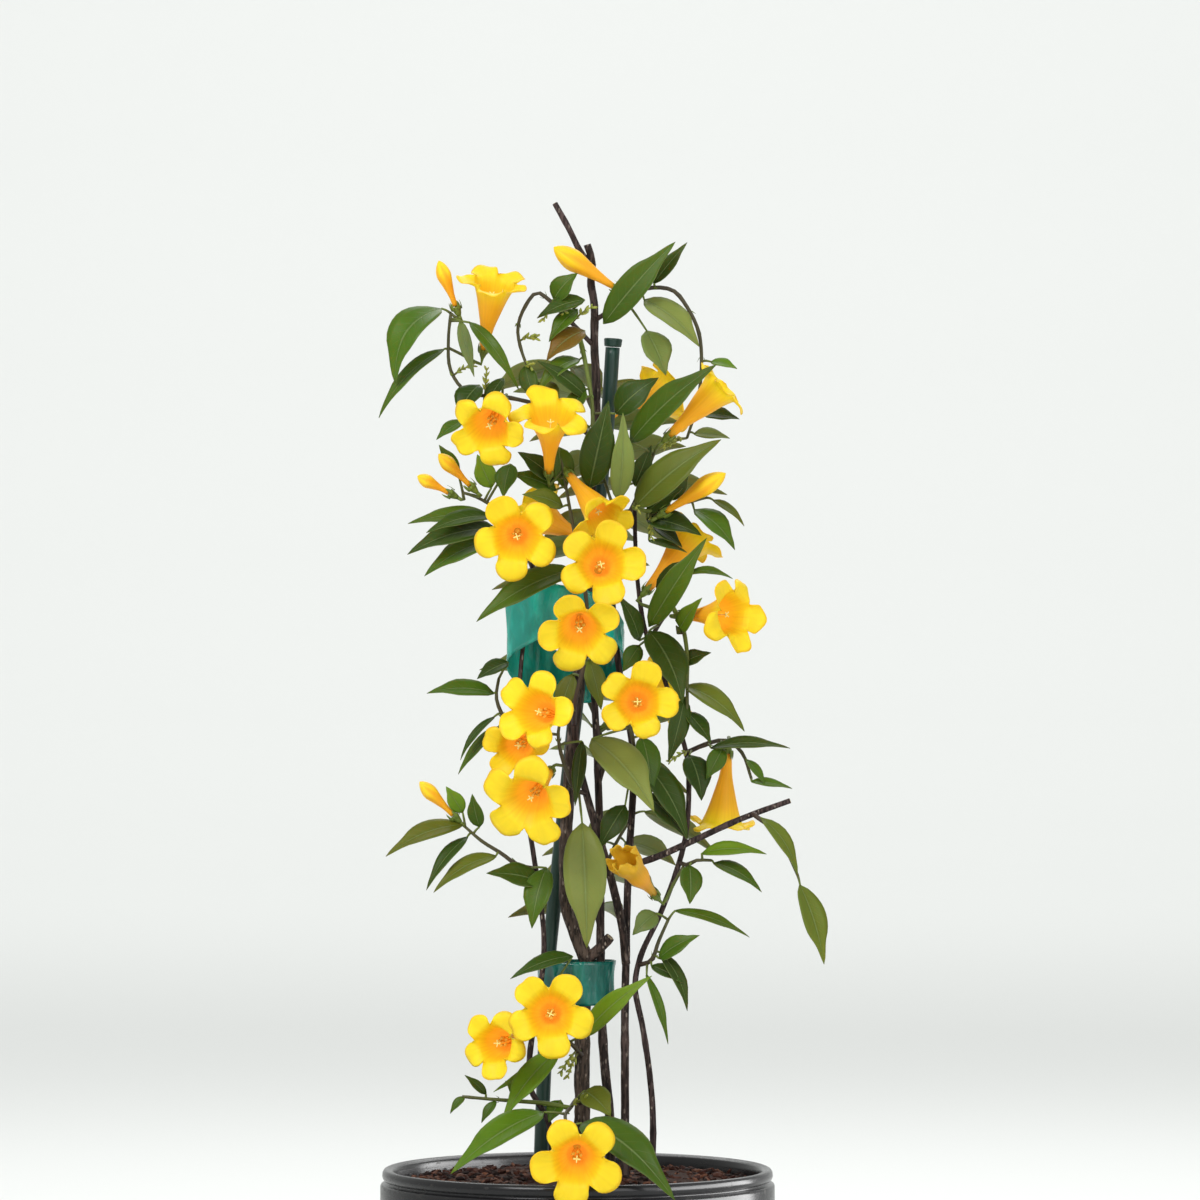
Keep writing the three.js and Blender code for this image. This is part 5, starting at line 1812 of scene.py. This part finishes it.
    def _flower_stalk(self, sculpt: Sculpt, start: Vector, seat: Vector, axis: Vector, draw: Draw) -> None:
        """Adds a stalk that bends in line with its flower, and its calyx.

        Args:
            sculpt: the mesh.
            start: where it leaves the stem.
            seat: where the corolla stands.
            axis: where the flower faces.
            draw: the source of the calyx's tint.
        """
        foot = seat - axis * CALYX_LENGTH
        bend = foot - axis * 3
        line = Route([start, start.lerp(bend, 0.5), bend, foot])
        self._stem(sculpt, line, PEDICEL * self.slimming, PEDICEL, self.green, self.calyx_green)
        self._calyx(sculpt, seat, axis, draw)

    def build(self, finishes: Finishes, draw: Draw) -> None:
        """Makes both pieces, which stand for the shoot's node.

        Args:
            finishes: the materials.
            draw: the source of tints and waves.
        """
        node = f"shoot_{self.plan.name}"
        routes = self._routes()

        def foot_for(place: Vector) -> Vector:
            """Where a stalk leaves the shoot's stem."""
            return nearest_on(routes, place, self.carrier_foot + 1)

        stalks, blades = Sculpt(), Sculpt()
        for k, route in enumerate(routes):
            low = self.brown if k == 0 else self.calyx_green
            self._stem(stalks, route, SHOOT_RADIUS, SHOOT_TIP * self.slimming, low, self.green)
            self._bracts(stalks, route, draw)
        foliage = Foliage(blades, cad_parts[node])
        for leaf in self.plan.leaves:
            base = foliage.add(leaf, draw)
            foot = foot_for(base)
            line = Route([foot, foot.lerp(base, 0.5) + Vector((0, 0, 0.3)), base])
            self._stem(stalks, line, 0.62, 0.42, self.green, self.calyx_green)
        seats = [(Vector(f.mouth) - f.axis * (f.tube + GAP), f.axis) for f in self.plan.flowers]
        seats += [(Vector(b.base) - b.axis * GAP, b.axis) for b in self.plan.buds]
        for seat, axis in seats:
            self._flower_stalk(stalks, foot_for(seat), seat, axis, draw)
        for tip in SPRIGS.get(self.plan.name, ()):
            self._sprig(stalks, foot_for(Vector(tip)), Vector(tip), draw)
        blades.piece(f"blades_{self.plan.name}", finishes.leaf, "leaf", node)
        stalks.piece(f"stalks_{self.plan.name}", finishes.stalk, "leaf", node)


@dataclass
class Corolla:
    """An open flower: a funnel, five notched lobes, and the stamens and stigma in its throat."""

    name: str
    plan: Bloom
    columns: int = 80
    rows: int = 18
    thickness: float = 0.32
    brim_share: float = 0.52
    brim_row: float = 0.66
    brim_rise: float = 1.2
    swing: float = math.radians(124)
    stigmas: int = 4
    pale: Colour = (0.86, 0.74, 0.26)
    gold: Colour = (0.78, 0.50, 0.07)

    def _profile(self) -> Route:
        """Shapes the funnel.

        Returns:
            Its wall from its foot to its brim, as radius and height.
        """
        tube, radius = self.plan.tube, self.plan.span / 2
        throat = min(THROAT_RADIUS, radius * 0.4)
        return Route((
            (1.55, 0.0), (1.9, tube * 0.16), (2.6, tube * 0.35), (4.5, tube * 0.62),
            (throat, tube * 0.86), (radius * self.brim_share, tube + self.brim_rise),
        ))

    def _lobe(
        self, angle: float, notches: Sequence[float], skews: Sequence[float]
    ) -> tuple[int, float, Vector]:
        """Finds a place on the edge of a lobe.

        Args:
            angle: how far round the flower, from 0 to a full turn.
            notches: how deep each lobe's tip is notched.
            skews: how far each lobe's tip leans to one side.

        Returns:
            The lobe's number, the place across it from -1 to 1, and the edge.
        """
        step = FULL_TURN / LOBES
        which = int(angle / step)
        centre = (which + 0.5) * step
        x = (angle - centre) / (step / 2)
        swing = self.swing * x
        forward = 0.68 + 0.30 * math.cos(swing) - notches[which] * math.exp(-((x / 0.16) ** 2))
        side = 0.355 * math.sin(swing) + skews[which] * math.cos(swing / 2)
        near = max(0.0, (abs(x) - 0.8) / 0.2) ** 2
        sinus = polar(self.brim_share, math.copysign(step / 2, x))
        edge = Vector((forward, side, 0)).lerp(sinus, near)
        edge.rotate(Quaternion(UP, centre))
        return which, x, edge

    def build(self, finishes: Finishes, draw: Draw) -> None:
        """Makes the corolla and its stamens.

        Args:
            finishes: the materials.
            draw: the source of tints and waves.
        """
        plan, radius = self.plan, self.plan.span / 2
        profile, wilted = self._profile(), self.plan.form is Form.WILTED
        axis = plan.axis
        spin = UP.rotation_difference(axis)
        foot = Vector(plan.mouth) - axis * plan.tube
        roll = Quaternion(UP, math.radians(plan.roll))
        phase = draw.between(0, 6.28)
        curls, twists, lengths, notches, skews = (
            [draw.between(*span) for _ in range(LOBES)]
            for span in ((-1.8, 4.2), (-1.9, 1.9), (0.92, 1.01), (-0.025, 0.06), (-0.045, 0.045))
        )

        def tube_at(angle: float, share: float) -> tuple[Vector, float]:
            """A place on the funnel, faintly fluted towards its brim."""
            point = profile.at(share)
            return polar(point.x * (1 + 0.04 * math.cos(LOBES * angle) * share**2), angle), point.y

        def lobe_at(angle: float, k: float) -> tuple[Vector, float]:
            """A place on a curled and twisted lobe, a share of the way from the brim to the lobe's edge."""
            which, x, edge = self._lobe(angle % (FULL_TURN - 1e-6), notches, skews)
            brim = polar(radius * self.brim_share * (1 + 0.04 * math.cos(LOBES * angle)), angle)
            flat = brim.lerp(edge * (radius * lengths[which]), k)
            inner = 1 - abs(x) ** 3
            height = plan.tube + self.brim_rise + 2.0 * math.sin(1.4 * k) - curls[which] * k**3 * inner
            height += twists[which] * x * k * inner + 0.75 * math.sin(7 * x + phase + which) * k * k * inner
            height += 0.9 * (x * x - 0.4) * k * (1 - k) * 2
            if wilted:
                flat *= 1 - 0.35 * k
                height += 3.5 * k + 1.2 * math.sin(7 * angle) * k
            return flat, height

        def place(turn: float, share: float) -> Vector:
            """A corner of the funnel or of a lobe."""
            angle, row = angle_at(turn), self.brim_row
            if share <= row:
                flat, height = tube_at(angle, share / row)
            else:
                flat, height = lobe_at(angle, (share - row) / (1 - row))
            flat.rotate(roll)
            return foot + spin @ Vector((flat.x, flat.y, height))

        tint = varied((1.0, 1.0, 1.0), draw, 0.06)
        sculpt = Sculpt()
        verts, _ = sculpt.lay(
            self.columns, self.rows, place, all_over(tint),
            lambda turn, share: polar(1, FULL_TURN * turn, share),
        )
        bmesh.ops.remove_doubles(sculpt.bm, verts=verts, dist=WELD)
        ring_edges = [
            e for e in sculpt.bm.edges if e.is_boundary and max(v[sculpt.grain].z for v in e.verts) < 0.01
        ]
        bmesh.ops.holes_fill(sculpt.bm, edges=ring_edges, sides=0)
        bmesh.ops.recalc_face_normals(sculpt.bm, faces=sculpt.bm.faces)
        sculpt.bm.normal_update()
        faces = list(sculpt.bm.faces)
        top = max(faces, key=lambda f: f.calc_center_median().dot(axis))
        if top.normal.dot(axis) < 0:
            bmesh.ops.reverse_faces(sculpt.bm, faces=faces)
        outer = set(sculpt.thicken(faces, lambda vert: self.thickness))
        # The inner side's tint gets alpha 0, which marks where the petal material paints its glow.
        for vert in sculpt.bm.verts:
            if vert not in outer:
                vert[sculpt.tint] = (*tint, 0)
        finish = finishes.faded if wilted else finishes.petal
        sculpt.piece(f"corolla_{self.name}", finish, "petal", f"flower_{self.name}")
        if not wilted:
            self._stamens(finishes, foot, axis, draw)

    def _stamens(self, finishes: Finishes, foot: Vector, axis: Vector, draw: Draw) -> None:
        """Adds five anthers on filaments and the forked stigma above them.

        Args:
            finishes: the materials.
            foot: the middle of the corolla's foot.
            axis: where the flower faces.
            draw: the source of how they turn.
        """
        sculpt = Sculpt()
        across = axis.orthogonal().normalized()
        above = axis.cross(across)
        pale, gold = all_over(self.pale), all_over(self.gold)
        turn = draw.between(0, 6.28)

        def up(share: float) -> Vector:
            """A point on the flower's axis, by the share of its tube."""
            return foot + axis * (self.plan.tube * share)

        for k in range(LOBES):
            out = ring(across, above, turn + FULL_TURN * k / LOBES)
            start, end = up(0.3) + out, up(0.62) + out * 1.7
            line = Route([start, start.lerp(end, 0.5) + out * 0.3, end])
            sculpt.tube(line, lambda turn, share: 0.22, 5, 4, gold)
            sculpt.pebble(end + axis * 0.9, Vector((1.0, 0.9, 2.0)), axis, self.gold, draw)
        top = up(0.88)
        sculpt.tube(Route([up(0.25), up(0.5), top]), lambda turn, share: 0.24, 5, 6, pale)
        for k in range(self.stigmas):
            out = ring(across, above, turn + FULL_TURN * k / self.stigmas + 0.4)
            line = Route([top, top + axis * 0.8 + out * 0.7, top + axis * 1.1 + out * 1.5])
            sculpt.tube(line, lambda turn, share: 0.34 - 0.1 * share, 5, 3, pale)
        sculpt.piece(f"stamens_{self.name}", finishes.stamen, "petal")


@dataclass
class Bud:
    """A closed corolla, its lobes folded in a twist at the top."""

    name: str
    plan: Closed
    columns: int = 30
    rows: int = 18

    def build(self, finishes: Finishes, draw: Draw) -> None:
        """Makes the piece that stands for the bud's node.

        Args:
            finishes: the materials.
            draw: the source of its tint.
        """
        base, tip, axis = Vector(self.plan.base), Vector(self.plan.tip), self.plan.axis
        length, width = (tip - base).length, self.plan.width
        shape = ((0.21, 0.2), (0.37, 0.47), (0.49, 0.68), (0.37, 0.84), (0.15, 0.96))
        profile = Route([(1.2, 0), *((width * out, length * up) for out, up in shape), (0.12, length)])
        spin = UP.rotation_difference(axis)

        def ridge(turn: float, share: float) -> float:
            """From 0 in a fold's crease to 1 on its ridge. The five folds twist round the bud."""
            return abs(math.cos(LOBES / 2 * angle_at(turn) + 2.6 * share))

        def place(turn: float, share: float) -> Vector:
            """A corner of the folded bud."""
            point = profile.at(share)
            fold = 0.97 + 0.34 * ridge(turn, share) * max(0.0, share - 0.3)
            return base + spin @ polar(point.x * fold, angle_at(turn), point.y)

        def grain(turn: float, share: float) -> Vector:
            """Its place in the petals' pattern, with more of the throat's orange in the creases."""
            crease = 1 - ridge(turn, share)
            return polar(1, FULL_TURN * turn, 0.22 + 0.66 * share - 0.26 * crease * share)

        sculpt = Sculpt()
        sculpt.wrap(self.columns, self.rows, place, all_over(varied((0.94, 0.94, 0.9), draw, 0.08)), grain)
        sculpt.piece(f"closed_{self.name}", finishes.petal, "petal", f"bud_{self.name}")


@dataclass
class Stake:
    """A plastic-coated garden stake, ringed with faint ribs, and its cap."""

    sides: int = 24
    knuckle_spacing: float = 82

    def build(self, finishes: Finishes) -> None:
        """Makes the stake and the cap, which stand for their nodes.

        Args:
            finishes: the materials.
        """
        route, colour = Route(STAKE_ROUTE), all_over((1.0, 1.0, 1.0))

        def radius(turn: float, share: float) -> float:
            """The radius with its faint knuckles."""
            return STAKE_RADIUS * (0.98 + 0.05 * swelling(share * route.length, self.knuckle_spacing, 6))

        stake = Sculpt()
        stake.tube(route, radius, self.sides, round(route.length / 3), colour)
        stake.piece("garden_stake", finishes.stake, "stake", "stake")
        top = Vector(STAKE_ROUTE[-1])
        lean = (top - Vector(STAKE_ROUTE[-2])).normalized()
        spin = UP.rotation_difference(lean)
        shape = (
            (0.80, 0), (0.90, 0.12), (0.93, 0.5), (0.97, 2.2), (1, 3.0),
            (0.92, CAP_HEIGHT - 0.15), (0.6, CAP_HEIGHT), (0.05 / CAP_RADIUS, CAP_HEIGHT),
        )
        profile = Route([(CAP_RADIUS * out, up) for out, up in shape])

        def place(turn: float, share: float) -> Vector:
            """A corner of the cap."""
            point = profile.at(share)
            return top + lean * GAP + spin @ polar(point.x, angle_at(turn), point.y)

        cap = Sculpt()
        cap.wrap(self.sides, 20, place, colour)
        cap.piece("stake_top", finishes.stake, "stake", "stake_cap")


@dataclass
class Tie:
    """A band of stretch tape round the bundle, creased across its width.

    Args:
        name: the tie's name.
        loop: its middle line seen from above.
        height: how high its middle is on the axis.
        tilt: how much it rises towards the back.
        width: its width, by how far to the right a place is.
        shade: the painted light and shade on it, as a factor on the tape's colour.
    """

    name: str
    loop: Sequence[tuple[float, float]]
    height: float
    tilt: float
    width: Callable[[float], float]
    shade: float
    columns: int = 120
    rows: int = 12
    thickness: float = 0.4
    overhang: float = 0.6

    def build(self, finishes: Finishes) -> None:
        """Makes the piece that stands for the tie's node.

        Args:
            finishes: the materials.
        """
        path = Route(self.loop, closed=True)

        def place(turn: float, share: float) -> Vector:
            """A corner of the creased and rucked band."""
            turn = turn % 1.0
            point = path.at(turn)
            ahead = (path.at((turn + Route.STEP) % 1.0) - path.at((turn - Route.STEP) % 1.0)).normalized()
            outward = Vector((ahead.y, -ahead.x, 0))
            half = self.width(point.x) / 2
            crease = 0.55 * noise.noise(Vector((point.x * 0.35, point.y * 0.35, share * 2.5)))
            ruck = 0.8 * noise.noise(Vector((point.x * 0.12, point.y * 0.12, 5)))
            bow = -0.5 * math.sin(math.pi * share)
            middle = self.height + self.tilt * point.y
            spread = (2 * share - 1) * (half + self.overhang + ruck)
            return Vector((point.x, point.y, middle + spread)) + outward * (crease + bow + 0.25)

        sculpt = Sculpt()
        verts, _ = sculpt.lay(self.columns, self.rows, place, all_over((self.shade,) * 3))
        bmesh.ops.remove_doubles(sculpt.bm, verts=verts, dist=WELD)
        sculpt.thicken(list(sculpt.bm.faces), lambda vert: self.thickness)
        sculpt.piece(f"tape_{self.name}", finishes.tape, "tape", f"tie_{self.name}")


@dataclass
class Pot:
    """A round nursery pot, turned smooth, with a rim band and a rolled double lip."""

    sides: int = 120

    def build(self, finishes: Finishes) -> bpy.types.Object:
        """Makes the piece that stands for the pot's node.

        Args:
            finishes: the materials.

        Returns:
            The pot's piece.
        """
        band, inside = POT_HEIGHT - RIM_BAND, RIM_RADIUS - LIP
        underside = ((6, 0.3), (4, 0.0), (1.5, 0.0), (0.4, 0.4), (0, 1.5))
        collar = ((1.4, -0.2), (0.3, 0.8), (0, 2))
        lip = (
            (0, 7.4), (0.3, 6.6), (1.0, 6.1), (2.0, 5.8), (2.1, 5.0), (1.2, 4.3), (0.8, 3.0), (1.0, 1.4),
            (1.7, 0.4), (2.6, 0), (3.4, 0.5), (4.1, 0.9), (4.8, 0.6), (LIP, 1.6), (LIP + 0.4, 3.4),
        )
        profile = (
            (0.0, 0.3),
            *((POT_BASE_RADIUS - inward, height) for inward, height in underside),
            (POT_NECK - 1.5, band - 14), (POT_NECK, band - 3), (POT_NECK + 1.2, band - 1.6),
            *((RIM_RADIUS - inward, band + up) for inward, up in collar),
            *((RIM_RADIUS - inward, POT_HEIGHT - down) for inward, down in lip),
            (inside - 0.8, band + 1), (POT_NECK - POT_WALL, band - 5),
            (POT_BASE_RADIUS - POT_WALL, POT_WALL), (0.0, POT_WALL),
        )
        sculpt = Sculpt()
        bm = sculpt.bm
        chain = [bm.verts.new(Vector((radius, 0, height)) * MM) for radius, height in profile]
        edges = [bm.edges.new(pair) for pair in zip(chain, chain[1:])]
        bmesh.ops.spin(
            bm, geom=chain + edges, axis=UP, cent=Vector(), steps=self.sides, angle=FULL_TURN, use_merge=True
        )
        bmesh.ops.remove_doubles(bm, verts=bm.verts, dist=10 * WELD)
        return sculpt.piece("nursery_pot", finishes.pot, "pot", "pot")


@dataclass
class Ground:
    """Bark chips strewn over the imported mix."""

    chips: int = 1100
    radius: float = 75.5
    seed: int = 5
    shades: Sequence[Colour] = (
        (0.050, 0.017, 0.010), (0.030, 0.010, 0.007), (0.110, 0.050, 0.032), (0.012, 0.006, 0.005),
    )

    def build(self, finishes: Finishes, standing: Sequence[tuple[Vector, float]]) -> None:
        """Makes the chips and finishes the soil's own node.

        Args:
            finishes: the materials.
            standing: where stems and the stake stand, and their radii.
        """
        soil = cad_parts["soil"]
        soil.data.materials.clear()
        soil.data.materials.append(finishes.ground)
        draw = Draw(self.seed)
        sculpt = Sculpt()
        made = 0
        while made < self.chips:
            reach, angle = self.radius * math.sqrt(draw.unit()), draw.between(0, FULL_TURN)
            size = draw.between(1.0, 3.0)
            spot = polar(reach, angle)
            if reach + size > self.radius or any(
                (spot - foot.xy.to_3d()).length < r + size * 0.9 for foot, r in standing
            ):
                continue
            dome = SOIL_TOP - 1.2 + 2.0 * (1 - (reach / self.radius) ** 2)
            spot.z = dome + draw.between(-0.4, 0.9)
            lie = Vector((draw.between(-1, 1), draw.between(-1, 1), draw.between(0.4, 1.6))).normalized()
            radii = Vector((size, size * draw.between(0.45, 0.8), size * draw.between(0.3, 0.6)))
            tint = varied(self.shades[made % len(self.shades)], draw, 0.3)
            sculpt.pebble(spot, radii, lie, tint, draw)
            made += 1
        sculpt.piece("bark_chips", finishes.chips, "soil", smooth=False)


@dataclass(frozen=True)
class Lamp:
    """A flat lamp: where it stands, its size in metres, its power in watts and where it shines."""

    name: str
    place: Point
    size: tuple[float, float]
    power: float
    aim: Point = (0, 0, 0.33)


LAMPS = (
    Lamp("key", (-1.3, -2.0, 2.2), (1.2, 1.2), 52.0),
    Lamp("fill", (1.3, -2.2, 1.2), (1.6, 1.6), 21.0),
    Lamp("softbox", (1.25, -0.10, 0.30), (1.7, 0.9), 62.0),
    Lamp("back", (0.2, 1.5, 1.8), (1.6, 1.6), 18.0),
    Lamp("backdrop", (0, 4.6, 5.0), (5.0, 1.0), 130.0, (0, 9.0, 1.2)),
)


@dataclass
class Studio:
    """The camera at the photo's angle, soft lights, and a pale floor that bends up into a wall."""

    eye: Point = (0.00945, -2.7, 0.399)
    lens: float = 192.5
    sky: tuple[float, float, float, float] = (0.95, 0.97, 0.95, 1)
    sky_strength: float = 0.7
    width: float = 14.0
    depth: float = 20.0
    front: float = -5.0
    flat: float = 11.5
    bend: float = 2.4

    def _camera(self) -> None:
        """Sets up the camera, level and facing back."""
        camera = placed("camera", bpy.data.cameras.new("camera"))
        camera.location = self.eye
        camera.rotation_euler = (math.pi / 2, 0, 0)
        camera.data.lens = self.lens
        camera.data.sensor_width = 36.0
        camera.data.dof.use_dof = False
        camera.data.clip_end = 50
        bpy.context.scene.camera = camera

    def _lights(self, pot: bpy.types.Object) -> None:
        """Sets up the lamps and the sky. The softbox lights only the pot.

        Args:
            pot: the pot's piece.
        """
        for lamp in LAMPS:
            light = bpy.data.lights.new(lamp.name, "AREA")
            light.shape, light.size, light.size_y, light.energy = "RECTANGLE", *lamp.size, lamp.power
            holder = placed(lamp.name, light)
            holder.location = lamp.place
            way = Vector(lamp.aim) - Vector(lamp.place)
            holder.rotation_euler = way.to_track_quat("-Z", "Y").to_euler()
            if lamp.name == "softbox":
                lit = bpy.data.collections.new("lit_by_softbox")
                lit.objects.link(pot)
                holder.light_linking.receiver_collection = lit
        world = bpy.data.worlds.new("studio")
        world.use_nodes = True
        sky = world.node_tree.nodes["Background"]
        sky.inputs[0].default_value, sky.inputs[1].default_value = self.sky, self.sky_strength
        bpy.context.scene.world = world
        bpy.context.scene.view_settings.view_transform = "Standard"

    def _floor(self, finishes: Finishes) -> None:
        """Lays the floor.

        Args:
            finishes: the materials.
        """
        bm = bmesh.new()
        for vert in bmesh.ops.create_grid(bm, x_segments=1, y_segments=40, size=0.5)["verts"]:
            ahead = self.depth * (vert.co.y + 0.5)
            rise = max(0.0, ahead - self.flat)
            bend = min(rise / self.bend, math.pi / 2)
            up = self.bend * (1 - math.cos(bend)) + max(0.0, rise - self.bend * math.pi / 2)
            back = ahead - rise + self.bend * math.sin(bend) + self.front
            vert.co = Vector((vert.co.x * self.width, back, up))
        for face in bm.faces:
            face.smooth = True
        mesh = bpy.data.meshes.new("floor")
        bm.to_mesh(mesh)
        bm.free()
        mesh.materials.append(finishes.floor)
        placed("floor", mesh)

    def build(self, finishes: Finishes, pot: bpy.types.Object) -> None:
        """Sets up camera, lights and floor.

        Args:
            finishes: the materials.
            pot: the pot's piece.
        """
        self._camera()
        self._lights(pot)
        self._floor(finishes)


def main() -> None:
    """Builds the plant from the pot up, then the studio."""
    logging.basicConfig(level=logging.INFO, format="%(message)s")
    finishes = Finishes()
    carriers = {plan.name: (Route(plan.route), plan.foot) for plan in WOOD}
    right_vine = next(plan for plan in WOOD if plan.name == "right_vine")
    for name, branch in zip(("right_vine_branch", "right_vine_twig"), right_vine.branches):
        carriers[name] = (Route(branch.route), branch.foot)
    pot = Pot().build(finishes)
    standing = [(Vector(plan.route[1]), plan.foot) for plan in WOOD]
    standing.append((Vector(STAKE_ROUTE[2]), STAKE_RADIUS))
    Ground().build(finishes, standing)
    Stake().build(finishes)
    # The tape is the same on both ties: the lower one is painted darker, as painted shade, and the upper one
    # lighter, as painted light.
    Tie("lower", LOWER_LOOP, 238, 0, lambda x: 17, 0.5).build(finishes)
    Tie("upper", UPPER_LOOP, 381, -0.85, lambda x: 17 - 0.25 * x, 1.35).build(finishes)
    for plan in WOOD:
        WoodyStem(plan).build(finishes)
    draw = Draw(SEED)
    shoots = [*SHOOTS, *back_shoots(BackPlan(), carriers["back_vine"][0])]
    flowers = [flower for plan in shoots for flower in plan.flowers]
    for number, flower in enumerate(flowers, 1):
        Corolla(f"{number:02d}", flower).build(finishes, draw)
    for number, closed in enumerate((closed for plan in shoots for closed in plan.buds), 1):
        Bud(str(number), closed).build(finishes, draw)
    for plan in shoots:
        route, foot = carriers[plan.carrier]
        Shoot(plan, route, foot).build(finishes, draw)
    Studio().build(finishes, pot)


if __name__ == "__main__":
    main()
